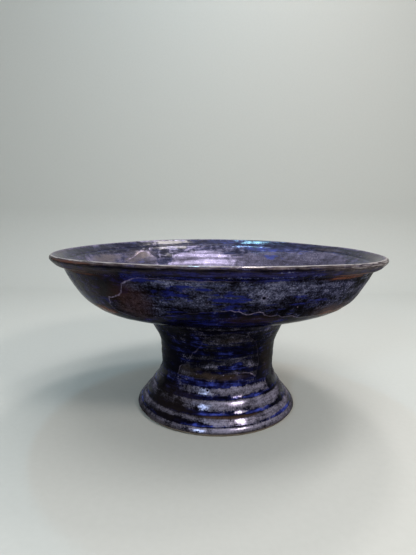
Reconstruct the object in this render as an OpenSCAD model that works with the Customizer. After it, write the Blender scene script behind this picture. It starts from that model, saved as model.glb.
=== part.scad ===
// Footed compote bowl: a thrown stoneware bowl luted to a thrown hollow pedestal, glazed inside and out.
// Origin: centre of the standing ring, on the table. +Z runs up the axis. Every piece is turned about Z.

/* [Bowl] */
// Diameter over the glazed lip
rim_d = 240; // [210:1:280]
// Height of the bowl from its seat to the top of the glazed lip
bowl_h = 42.2; // [36:0.1:60]
// Thickness of the floor
floor_t = 7.5; // [5:0.1:9]
// Thickness of the wall where it reaches the lip
wall_t = 3.4; // [2.6:0.1:4.2]
// Diameter of the trimmed flat that the pedestal is joined to
seat_d = 114; // [106:1:122]

/* [Lip] */
// Thickness of the clay in the lip
lip_t = 3; // [2.4:0.1:3.6]
// Slope of the lip's outer face from level, in degrees
lip_a = 45; // [38:1:52]
// Width of the lip's outer face
lip_w = 4; // [3:0.1:5]
// Slope of the lip's inner face from level, in degrees
lip_in_a = 38; // [32:1:42]
// Width of the lip's inner face
lip_in_w = 5; // [4:0.1:6]
// Radius of the lip's lower edge
lip_edge_r = 0.9; // [0.7:0.1:1.2]
// Width of the ledge under the lip
ledge_w = 3.8; // [3:0.1:4.4]
// Slope of the ledge under the lip from level, in degrees
ledge_a = 14; // [6:1:20]
// Radius of the hollow between the ledge and the wall
neck_r = 1.4; // [1:0.1:2]

/* [Pedestal] */
// Height of the pedestal
pedestal_h = 76.4; // [60:0.1:110]
// Diameter over the glazed foot
foot_d = 121.8; // [110:0.1:140]
// Diameter of the glazed stem at its narrowest
stem_d = 86.2; // [80:0.1:92]
// Thickness of the pedestal's wall, measured level
stem_t = 6.5; // [5:0.1:8]
// Height of a thrown ridge on the stem and the inner wall
ridge_h = 0.16; // [0.05:0.01:0.25]
// Height from one thrown ridge to the next
ridge_pitch = 6.4; // [5:0.1:9]

/* [Joint] */
// Thickness of the slip between the pedestal and the bowl
slip_t = 0.6; // [0.3:0.1:1.2]
// Height of the coil in the outer corner of the joint
coil_h = 5; // [4.5:0.1:7]
// Width of the coil in the outer corner of the joint
coil_w = 3; // [2:0.1:4]
// Height of the coil in the top corner of the hollow
inner_coil_h = 4; // [3:0.1:4.5]

/* [Glaze] */
// Thickness of the glaze
glaze_t = 0.5; // [0.3:0.1:0.8]

/* [Hidden] */

clay_color = "#8a7d70";
slip_color = "#a39684";
cobalt_color = "#1f2a78";
lustre_color = "#4a4560";

// Facets round the axis, points along a stretch of a curve, along one of the ringed foot, and along an arc
turn_fn = 96;
span_steps = 5;
foot_steps = 12;
arc_steps = 8;

// A quarter turn, in degrees
quarter_turn = 90;

// Clay sizes, inside the glaze
lip_r = rim_d / 2 - glaze_t;
foot_r = foot_d / 2 - glaze_t;
stem_r = stem_d / 2 - glaze_t;
seat_r = seat_d / 2;
collar_r = seat_r - coil_w;
seat_z = pedestal_h + slip_t;
lip_z = seat_z + bowl_h - glaze_t;
floor_z = seat_z + floor_t;

// Wall of the bowl: shares of the way from the seat's edge to the neck, outward and up
wall_shares = [[0.165, 0.032], [0.276, 0.046], [0.385, 0.067], [0.495, 0.110], [0.604, 0.181],
               [0.688, 0.270], [0.759, 0.362], [0.8165, 0.4725], [0.8625, 0.588], [0.916, 0.730],
               [0.963, 0.870]];

// Foot: share of the way from the stem's radius out to the foot's, share of the pedestal's height
foot_shares = [[0.93, 0], [1, 0.029], [0.95, 0.059], [0.70, 0.118], [0.49, 0.177], [0.31, 0.236],
               [0.157, 0.295], [0.05, 0.353], [0, 0.412]];

// Stem and collar: share of the way from the stem's radius out to the collar's, share of the height
stem_shares = [[0, 0.471], [0.035, 0.530], [0.043, 0.589], [0.06, 0.648], [0.155, 0.707],
               [0.33, 0.766], [0.55, 0.831], [0.79, 0.893]];

// Rings turned on the foot: place, half width and height, all as shares of the pedestal's height
ring_shares = [[0.290, 0.014, 0.0065], [0.270, 0.012, -0.0060], [0.2225, 0.031, 0.0080],
               [0.177, 0.0105, 0.0045], [0.157, 0.0105, -0.0072], [0.127, 0.008, 0.0030],
               [0.101, 0.0075, 0.0032], [0.075, 0.007, 0.0030], [0.042, 0.007, -0.0034]];

// Shares of the pedestal's height between which the stem's thrown ridges run
ridge_from_share = 0.36;
ridge_to_share = 0.93;

// Weights of a coil's lower toe, its corner and its upper toe in the middle of its hollow face
coil_shares = [0.42, 0.16, 0.42];

// One point of a smooth curve through a, b, c and d, at t from b to c
function curve_point(a, b, c, d, t) =
    0.5 * (2 * b + (c - a) * t + (2 * a - 5 * b + 4 * c - d) * t * t + (3 * b - a - 3 * c + d) * t * t * t);

// Smooth curve through the points p, with foot_steps points along each of its first fine stretches
function curve(p, fine = 0) =
    let (q = concat([2 * p[0] - p[1]], p, [2 * p[len(p) - 1] - p[len(p) - 2]]))
    concat(
        [for (i = [1:len(p) - 1]) let (n = i > fine ? span_steps : foot_steps) for (k = [0:n - 1])
            curve_point(q[i - 1], q[i], q[i + 1], q[i + 2], k / n)],
        [p[len(p) - 1]]);

// Arc about c, from angle a0 to a1
function arc(c, r, a0, a1) =
    [for (k = [0:arc_steps]) let (a = a0 + (a1 - a0) * k / arc_steps) c + r * [cos(a), sin(a)]];

function slice(p, from, to) = [for (i = [from:to]) p[i]];
function reverse(p) = [for (i = [len(p) - 1:-1:0]) p[i]];
function sum(v, i = 0) = i < len(v) ? v[i] + sum(v, i + 1) : 0;
function toward(a) = [cos(a), sin(a)];
function below(a) = toward(a - quarter_turn);

// Outward normal of path p at point i, for a path that runs out under the bowl and back inside it
function outward(p, i) =
    let (t = p[min(i + 1, len(p) - 1)] - p[max(i - 1, 0)]) [t[1], -t[0]] / norm(t);

// How far the foot's rings stand out at height z
function rings(z) = sum([for (s = ring_shares)
    s[2] * pedestal_h * exp(-pow((z / pedestal_h - s[0]) / s[1], 2))]);

// How far the thrown ridges stand out at height z, where they rise and fade between z0 and z1
function ridges(z, z0, z1) = z > z0 && z < z1
    ? ridge_h * sin(360 * (z - z0) / ridge_pitch) * sin(180 * (z - z0) / (z1 - z0))
    : 0;

// Hollow face of a coil, from its lower toe to its upper toe
function coil_curve(low, corner, high) =
    curve([low, coil_shares * [low, corner, high], high]);

// Outside of the pedestal without its rings, from the table up to the toe of the seam coil
pedestal_line = curve(concat(
    [for (s = foot_shares) [stem_r + s[0] * (foot_r - stem_r), s[1] * pedestal_h]],
    [for (s = stem_shares) [stem_r + s[0] * (collar_r - stem_r), s[1] * pedestal_h]],
    [[collar_r, pedestal_h - coil_h]]), len(foot_shares) - 1);
pedestal_side = [for (p = pedestal_line)
    [p[0] + rings(p[1]) + ridges(p[1], ridge_from_share * pedestal_h, ridge_to_share * pedestal_h), p[1]]];

// The lip's edge, its lower edge, and the hollow of the neck under its ledge
edge_c = [lip_r - lip_t / 2, lip_z - lip_t / 2];
lower_c = edge_c + (lip_t / 2 - lip_edge_r) * below(lip_a) - lip_w * toward(lip_a);
ledge_in = lower_c + lip_edge_r * below(ledge_a) - ledge_w * toward(ledge_a);
neck_c = ledge_in + neck_r * below(ledge_a);
neck_a = 150;
neck = neck_c + neck_r * toward(neck_a);
lip_side = concat(
    slice(arc(neck_c, neck_r, neck_a, ledge_a + quarter_turn), 1, arc_steps),
    arc(lower_c, lip_edge_r, ledge_a - quarter_turn, lip_a - quarter_turn),
    arc(edge_c, lip_t / 2, lip_a - quarter_turn, lip_in_a + quarter_turn));
crest_step = round(arc_steps * (2 * quarter_turn - lip_a) / (lip_in_a - lip_a + 2 * quarter_turn));

// Outside of the bowl, from its seat up to the neck
seat_edge = [seat_r, seat_z];
wall_line = concat(
    [seat_edge],
    [for (s = wall_shares) [seat_r + s[0] * (neck[0] - seat_r), seat_z + s[1] * (neck[1] - seat_z)]]);
wall_side = curve(concat(wall_line, [neck]));

// Face of the seam coil, from the pedestal up to the bowl
coil_low = pedestal_line[len(pedestal_line) - 1];
coil_face = coil_curve(coil_low, [coil_low[0], seat_z], seat_edge);

// Inside of the bowl, from the lip down to the middle of the floor
function wall_at(i) = floor_t + (wall_t - floor_t) * i / (len(wall_line) - 1);
bend = edge_c - lip_t / 2 * below(lip_in_a) - lip_in_w * toward(lip_in_a);
inner_points = [for (i = [len(wall_line) - 1:-1:1])
    wall_side[i * span_steps] - wall_at(i) * outward(wall_side, i * span_steps)];
inner_line = concat(curve(concat([bend], inner_points, [[seat_r / 2, floor_z]])), [[0, floor_z]]);
inner_side = [for (p = inner_line)
    [p[0] - ridges(p[1], floor_z + floor_t / 2, bend[1]), p[1]]];

// Everything that the glaze can cover, as one path: smooth, and with its rings and ridges
function joined(pedestal, inside) = concat(
    pedestal,
    slice(coil_face, 1, len(coil_face) - 1),
    slice(wall_side, 1, len(wall_side) - 1),
    lip_side,
    inside);
smooth = joined(pedestal_line, inner_line);
glazed = joined(pedestal_side, inner_side);
glaze_skin = [for (i = [0:len(glazed) - 1]) glazed[i] + glaze_t * outward(smooth, i)];
bare_end = foot_steps;
bead_end = 3 * foot_steps;
coil_end = len(pedestal_line) + len(coil_face) - 2;
crest = coil_end + len(wall_side) - 1 + arc_steps + arc_steps + 1 + crest_step + 1;
last = len(glazed) - 1;

// Top and hollow of the pedestal, whose standing ring is as wide as its wall
hollow_r = collar_r - stem_t;
hollow_side = [for (i = [0:len(pedestal_line) - 1])
    let (p = pedestal_line[i], r = i < bead_end ? min(p[0], pedestal_line[0][0]) : p[0])
    [r - stem_t, p[1]]];

module turned(outline) {
    rotate_extrude($fn = turn_fn) polygon(outline);
}

// A coat of glaze over the stretch of the path between two of its points
module coat(from, to) {
    turned(concat(slice(glazed, from, to), reverse(slice(glaze_skin, from, to))));
}

// Thrown and trimmed bowl
module bowl() {
    color(clay_color) turned(concat([[0, seat_z]], wall_side, lip_side, inner_side));
}

// Thrown hollow pedestal, open below
module pedestal() {
    color(clay_color) turned(concat(
        pedestal_side,
        [[collar_r, pedestal_h], [hollow_r, pedestal_h]],
        reverse(hollow_side)));
}

// Bed of slip between the pedestal's top ring and the bowl's seat
module joint_slip() {
    color(slip_color) turned([
        [hollow_r, pedestal_h], [collar_r, pedestal_h], [collar_r, seat_z], [hollow_r, seat_z]]);
}

// Coil worked into the outer corner of the joint
module seam_coil() {
    color(clay_color) turned(concat(coil_face, [[collar_r, seat_z], [collar_r, pedestal_h]]));
}

// Coil worked into the top corner of the hollow
module inner_coil() {
    corner = [hollow_r, seat_z];
    wall_toe = [hollow_r, pedestal_h - inner_coil_h];
    seat_toe = [hollow_r - inner_coil_h, seat_z];
    color(clay_color) turned(concat(coil_curve(wall_toe, corner, seat_toe), [corner]));
}

// Glaze poured inside the bowl
module inner_glaze() {
    color(lustre_color) coat(crest, last);
}

// Glaze on the outside of the bowl
module outer_glaze() {
    color(cobalt_color) coat(coil_end, crest);
}

// Glaze on the seam coil and the pedestal, above the bare foot
module pedestal_glaze() {
    color(cobalt_color) coat(bare_end, coil_end);
}

bowl();
pedestal();
joint_slip();
seam_coil();
inner_coil();
inner_glaze();
outer_glaze();
pedestal_glaze();
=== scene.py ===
"""Footed compote bowl: thrown stoneware under a cobalt glaze and a dark lustre, on a pale studio floor.

Sizes are in millimetres until a mesh is made. A bearing is in degrees round the axis, from 0 at the front to
90 at +X. A path is the distance in millimetres along a coat of glaze, from its lower end, or from the lip inwards.
"""
import logging
import math
from dataclasses import dataclass, field, fields
from enum import Enum
from typing import Any, Sequence

import bpy
import numpy as np
from mathutils import Matrix, Vector


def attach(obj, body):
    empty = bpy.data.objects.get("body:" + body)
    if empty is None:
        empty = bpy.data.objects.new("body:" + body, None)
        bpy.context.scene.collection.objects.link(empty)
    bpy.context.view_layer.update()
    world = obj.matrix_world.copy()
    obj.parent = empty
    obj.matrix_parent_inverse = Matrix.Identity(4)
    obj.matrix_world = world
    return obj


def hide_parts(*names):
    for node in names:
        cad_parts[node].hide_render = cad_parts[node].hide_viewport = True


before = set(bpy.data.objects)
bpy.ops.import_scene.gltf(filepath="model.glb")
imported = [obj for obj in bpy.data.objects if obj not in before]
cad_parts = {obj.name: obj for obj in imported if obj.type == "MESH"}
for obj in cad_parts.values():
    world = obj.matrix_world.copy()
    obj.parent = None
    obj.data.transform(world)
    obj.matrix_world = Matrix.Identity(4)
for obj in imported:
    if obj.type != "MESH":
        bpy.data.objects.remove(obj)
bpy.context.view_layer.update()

MM = 0.001
NEAR_AXIS = 1e-6     # a radius that counts as none
SMALLEST_R = 8.0     # the radius within which marks stop growing narrower towards the axis
FAR = 9.0            # the distance from a pit, in its radii, that is out of its reach
FAR_FROM_RUNS = 1e3  # the same for a run, in millimetres
ROUND = 900          # half the width of a daub that goes all the way round
Path = np.ndarray
Fields = dict[str, np.ndarray]
Colour = tuple[float, float, float]
Wave = tuple[float, float, int]
log = logging.getLogger("compote")


# Curves

def toward(angle: float) -> np.ndarray:
    """The unit vector at an angle from level, in degrees."""
    return np.array([math.cos(math.radians(angle)), math.sin(math.radians(angle))])


def below(angle: float) -> np.ndarray:
    """The unit vector square to toward(angle), on its lower side."""
    return toward(angle - 90.0)


def curve(points: Sequence[Sequence[float]], steps: int) -> Path:
    """A smooth curve through points.

    Args:
        points: The points that it passes through.
        steps: Points along each stretch between two of them.

    Returns:
        The curve's points, from the first to the last.
    """
    p = np.array(points, float)
    p = np.vstack([2 * p[0] - p[1], p, 2 * p[-1] - p[-2]])
    t = (np.arange(steps) / steps)[:, None]
    out = []
    for a, b, c, d in zip(p, p[1:], p[2:], p[3:]):
        out.append(0.5 * (2 * b + (c - a) * t + (2 * a - 5 * b + 4 * c - d) * t**2
                          + (3 * b - a - 3 * c + d) * t**3))
    return np.vstack(out + [p[-2:-1]])


def arc(centre: np.ndarray, radius: float, start: float, end: float, steps: int = 16) -> Path:
    """The points of an arc about centre, from one angle to another in degrees."""
    a = np.radians(np.linspace(start, end, steps + 1))
    return centre + radius * np.stack([np.cos(a), np.sin(a)], 1)


def lengths(path: Path) -> np.ndarray:
    """The distance along a path to each of its points."""
    return np.concatenate([[0.0], np.cumsum(np.hypot(*np.diff(path, axis=0).T))])


def resample(path: Path, at: np.ndarray) -> Path:
    """The points of a path at given distances along it."""
    s = lengths(path)
    return np.stack([np.interp(at, s, path[:, 0]), np.interp(at, s, path[:, 1])], 1)


def headings(path: Path) -> np.ndarray:
    """The way that a path heads at each of its points, in radians and without jumps."""
    return np.unwrap(np.arctan2(*np.gradient(path, axis=0).T[::-1]))


def outward(path: Path) -> Path:
    """Works out the normals of a path.

    Args:
        path: Its points.

    Returns:
        The unit normal at each point, on the path's right-hand side.
    """
    t = np.gradient(path, axis=0)
    t /= np.linalg.norm(t, axis=1)[:, None]
    return np.stack([t[:, 1], -t[:, 0]], 1)


def bending(path: Path, over: float) -> np.ndarray:
    """Works out how sharply a path bends.

    Args:
        path: Its points, at even steps.
        over: The length that the bend is averaged over, in millimetres.

    Returns:
        The bend at each point in 1/mm, positive where the surface stands out.
    """
    step = lengths(path)[-1] / (len(path) - 1)
    k = np.gradient(headings(path)) / step
    n = max(1, round(over / step)) * 2 + 1
    window = np.hanning(n + 2)[1:-1]
    return np.convolve(np.pad(k, n // 2, mode="edge"), window / window.sum(), "valid")


def thinned(outline: Path, longest: float = 2.0, slack: float = 0.02) -> Path:
    """Leaves out the points of an outline that lie on the line through their neighbours.

    Args:
        outline: Its points.
        longest: The distance from the last kept point after which a point stays.
        slack: The distance off the line beyond which a point stays.

    Returns:
        The points that stay, with the first and the last.
    """
    kept = [outline[0]]
    for here, after in zip(outline[1:], outline[2:]):
        (x, y), (wx, wy) = here - kept[-1], after - kept[-1]
        off = abs(wx * y - wy * x) / max(math.hypot(wx, wy), 1e-9)
        if math.hypot(x, y) > longest or off > slack:
            kept.append(here)
    return np.array(kept + [outline[-1]])


def bearings(columns: int) -> np.ndarray:
    """The bearing of each of some columns round the axis, in degrees."""
    return np.arange(columns) * 360.0 / columns


def ramp(x: np.ndarray | float, low: float, high: float) -> np.ndarray:
    """A smooth step from 0 at low to 1 at high."""
    t = np.clip((np.asarray(x, float) - low) / (high - low), 0.0, 1.0)
    return t * t * (3.0 - 2.0 * t)


def span(x: np.ndarray, start: float, full: float, fading: float, end: float) -> np.ndarray:
    """A smooth rise from 0 at start to 1 at full, and a fall from there at fading to 0 at end."""
    return ramp(x, start, full) * (1 - ramp(x, fading, end))


def bump(x: np.ndarray, middle: float, width: float) -> np.ndarray:
    """A round bump of 1 at its middle."""
    return np.exp(-((x - middle) / width) ** 2)


@dataclass(frozen=True)
class Waves:
    """Smooth noise made of plane waves in every direction, between about -1 and 1.

    Attributes:
        size: Length of the waves.
        seed: Seed of their directions and phases.
        count: Number of waves.
        spread: Least and greatest number of waves that fit in that length.
        level: What brings their sum to between about -1 and 1.
    """

    size: float
    seed: int
    count: int = 28
    spread: tuple[float, float] = (0.6, 1.5)
    level: float = 0.9

    def at(self, points: np.ndarray) -> np.ndarray:
        """Works out the noise at some points.

        Args:
            points: The points, in millimetres.

        Returns:
            The noise at each of them.
        """
        rng = np.random.default_rng(self.seed)
        way = rng.normal(size=(self.count, 3))
        way /= np.linalg.norm(way, axis=1)[:, None]
        way *= (2 * math.pi / self.size) * rng.uniform(*self.spread, self.count)[:, None]
        phase = rng.uniform(0, 2 * math.pi, self.count)
        return np.sin(points @ way.T + phase).sum(-1) / math.sqrt(self.count) * self.level


# The uneven form that a hand and a wheel leave

@dataclass(frozen=True)
class Handmade:
    """How the fired piece departs from a true turned form.

    Attributes:
        saddle: How far the lip rises at the front and back, and drops at the sides.
        lean: How far the bowl's underside tips up at the right.
        shift: How far the bowl's wall lies to the right of the lip.
        stem_shift: How far the stem lies to the right of the foot.
        soft_bend: How much rounder the wall's lower bend is on the left.
        wander: Height of the gentle unevenness all over.
        wander_size: Length of its waves.
        wander_count: Number of its waves.
        seed: Seed of the first of them.
        foot_z: Heights between which the unevenness grows, above the flat standing ring.
        stem_z: Heights between which the stem shifts.
        bowl_z: Heights between which the pedestal gives way to the bowl.
        wall_r: Radii between which the wall shifts.
        arm_r: Radius from which the lip's rise grows.
        arm_l: Length over which it grows.
        arm_end: Share of that length past which it grows no more.
        arm_power: Power of the distance that it grows by.
        bend_z: Height of the wall's lower bend.
        bend_h: Half the height of the bend.
        bend_r: Radii between which the bend begins.
        bend_power: How closely the softer bend keeps to the left, as a power.
    """

    saddle: float = 1.34
    lean: float = 1.13
    shift: float = 0.82
    stem_shift: float = 0.65
    soft_bend: float = 1.0
    wander: float = 0.18
    wander_size: float = 75.0
    wander_count: int = 12
    seed: int = 40
    foot_z: tuple[float, float] = (2.0, 14.0)
    stem_z: tuple[float, float, float, float] = (18.0, 34.0, 56.0, 72.0)
    bowl_z: tuple[float, float] = (64.0, 76.0)
    wall_r: tuple[float, float, float, float] = (46.0, 66.0, 92.0, 119.0)
    arm_r: float = 50.0
    arm_l: float = 70.0
    arm_end: float = 1.1
    arm_power: float = 1.3
    bend_z: float = 88.5
    bend_h: float = 6.0
    bend_r: tuple[float, float] = (78.0, 92.0)
    bend_power: int = 6

    def bent(self, p: np.ndarray) -> np.ndarray:
        """Moves points of the true turned form to where they lie on the fired piece.

        Args:
            p: The points, in millimetres.

        Returns:
            The moved points.
        """
        x, y, z = np.moveaxis(p, -1, 0)
        r = np.hypot(x, y)
        across = x / np.maximum(r, NEAR_AXIS)
        bowl = ramp(z, *self.bowl_z)
        wall = span(r, *self.wall_r) * bowl
        stem = span(z, *self.stem_z)
        arm = np.clip((r - self.arm_r) / self.arm_l, 0, self.arm_end) ** self.arm_power * bowl
        left = np.clip(-across, 0, 1) ** self.bend_power
        bend = bump(z, self.bend_z, self.bend_h) * ramp(r, *self.bend_r) * left
        moved = np.stack([
            x + self.shift * wall + self.stem_shift * stem + self.soft_bend * bend,
            y,
            z - self.saddle * (2 * across**2 - 1) * arm + self.lean * across * wall], -1)
        free = ramp(z, *self.foot_z)
        for axis in range(3):
            moved[..., axis] += self.wander * free * Waves(self.wander_size, self.seed + axis, self.wander_count).at(p)
        return moved


# Meshes

def placed(name: str, data: bpy.types.ID) -> bpy.types.Object:
    """Puts a mesh, a lamp or a camera into the scene.

    Args:
        name: Name of the object.
        data: What it holds.

    Returns:
        The object.
    """
    made = bpy.data.objects.new(name, data)
    bpy.context.scene.collection.objects.link(made)
    return made


@dataclass
class Turned:
    """A piece turned about the axis from a closed outline.

    Attributes:
        name: Name of the piece.
        outline: Points of radius and height in order, from the axis to the axis or round a loop.
        columns: Number of columns round the axis.
        hand: How the fired piece departs from the turned form.
        shift: How far each point of the grid moves along (radius, height), by column and row.
        fields: Values to keep at each point of the grid, by column and row.
        flat: Rows whose faces, from each to the next, are shaded flat.
    """

    name: str
    outline: Path
    columns: int
    hand: Handmade
    shift: np.ndarray | float = 0.0
    fields: Fields = field(default_factory=dict)
    flat: Sequence[int] = ()

    def points(self) -> np.ndarray:
        """Works out where the grid's points lie on the fired piece.

        Returns:
            The points, column by column.
        """
        grid = np.broadcast_to(self.outline, (self.columns, *self.outline.shape)) + self.shift
        a = np.radians(bearings(self.columns))[:, None]
        at = np.stack([grid[..., 0] * np.sin(a), -grid[..., 0] * np.cos(a), grid[..., 1]], -1)
        return self.hand.bent(at).reshape(-1, 3)

    def faces(self) -> tuple[np.ndarray, np.ndarray, np.ndarray]:
        """Joins the grid's points.

        Returns:
            The four points of each face, the three points of each face at the axis, and which of the first are
            shaded smooth.
        """
        rows = len(self.outline)
        index = np.arange(self.columns * rows).reshape(self.columns, rows)
        beside = np.roll(index, -1, axis=0)
        caps = np.zeros((0, 3), int)
        poles = self.outline[0, 0] < NEAR_AXIS
        if poles:
            index, beside = index[:, 1:-1], beside[:, 1:-1]
            ends = [(np.full(self.columns, pole), beside[:, k], index[:, k]) for pole, k in ((0, 0), (rows - 1, -1))]
            caps = np.vstack([np.stack(ends[0], -1), np.stack(ends[1][::-1], -1)])
        i = np.arange(index.shape[1] - (1 if poles else 0))
        j = (i + 1) % index.shape[1]
        smooth = np.ones((self.columns, len(i)), bool)
        smooth[:, [k for k in self.flat if k < len(i)]] = False
        quads = np.stack([index[:, i], beside[:, i], beside[:, j], index[:, j]], -1).reshape(-1, 4)
        return quads, caps, smooth.ravel()

    def piece(self) -> bpy.types.Object:
        """Builds the piece's mesh and its object.

        Returns:
            The object, in the scene.
        """
        points = self.points()
        quads, caps, smooth = self.faces()
        used = np.unique(np.concatenate([quads.ravel(), caps.ravel()]))
        order = np.zeros(len(points), int)
        order[used] = np.arange(len(used))
        mesh = bpy.data.meshes.new(self.name)
        mesh.from_pydata((points[used] * MM).tolist(), [], order[quads].tolist() + order[caps].tolist())
        mesh.polygons.foreach_set("use_smooth", smooth.tolist() + [True] * len(caps))
        for key, values in self.fields.items():
            data = mesh.attributes.new(key, "FLOAT", "POINT").data
            data.foreach_set("value", np.ascontiguousarray(values.reshape(-1)[used], np.float32))
        mesh.validate()
        mesh.update()
        return placed(self.name, mesh)


# Glaze as it lies on the clay

class Tone(Enum):
    """What a daub does to the glaze; the value is the name of the mesh's field.

    Attributes:
        BLUE: The first glaze is bluer, and shows through the second.
        PALE: The lustre is paler and thicker.
        DARK: Both glazes are darker; some daubs are painted shade.
        RUST: The glaze breaks to bronze; low on the outside wall it is a painted warm reflection from below.
        CLEAR: The lustre is thin; round the bowl's underside it also paints shade.
        SEAM: The edge of a run shows as a line.
        WORN: The glaze is thin over an edge, and paler as a painted highlight along the lip's crest.
        DRY: The glaze mirrors less.
    """

    BLUE = "blue"
    PALE = "pale"
    DARK = "dark"
    RUST = "rust"
    CLEAR = "clear"
    SEAM = "seam"
    WORN = "worn"
    DRY = "dry"


@dataclass(frozen=True)
class Daub:
    """A soft patch of a tone.

    Attributes:
        bearing: Its middle, in degrees.
        path: Its middle, in millimetres along the coat.
        wide: Half its width, in degrees.
        high: Half its height, in millimetres.
        strength: Its strength at the middle.
    """

    bearing: float
    path: float
    wide: float
    high: float
    strength: float = 1.0


@dataclass(frozen=True)
class Pit:
    """A crater, pinhole or painted glint on the glaze, with its place and its radius in millimetres."""

    bearing: float
    path: float
    radius: float = 0.7


@dataclass(frozen=True)
class Layout:
    """What lies where on one coat of glaze.

    Attributes:
        runs: Outlines of the pools where the second glaze lies over the first, as (bearing, path) points.
        tones: Daubs by their tone.
        pits: Craters and pinholes.
        glints: Small pale flecks: painted glints.
    """

    runs: Sequence[Sequence[tuple[float, float]]]
    tones: dict[Tone, Sequence[Daub]]
    pits: Sequence[Pit] = ()
    sparks: Sequence[Pit] = ()


@dataclass
class Grid:
    """The points of a coat's skin by column and row, before they are raised.

    Attributes:
        bearing: Their bearings.
        path: Their distances along the coat.
        at: Their places on the turned form.
        scale: The millimetres in a degree round the piece.
    """

    bearing: np.ndarray
    path: np.ndarray
    at: np.ndarray
    scale: np.ndarray

    @classmethod
    def of(cls, skin: Path, s: np.ndarray, columns: int) -> "Grid":
        """Makes the grid of a skin.

        Args:
            skin: Points of the skin's rows.
            s: Their distances along the coat.
            columns: Number of columns round the axis.

        Returns:
            The grid.
        """
        b, path, r, z = np.broadcast_arrays(bearings(columns)[:, None], s, *skin.T)
        a = np.radians(b)
        at = np.stack([r * np.sin(a), -r * np.cos(a), z], -1)
        return cls(b, path, at, np.pi / 180 * np.maximum(r, SMALLEST_R))

    def beside(self, bearing: float) -> np.ndarray:
        """How far each point lies from a bearing, in degrees between -180 and 180."""
        return (self.bearing - bearing + 180) % 360 - 180


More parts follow.
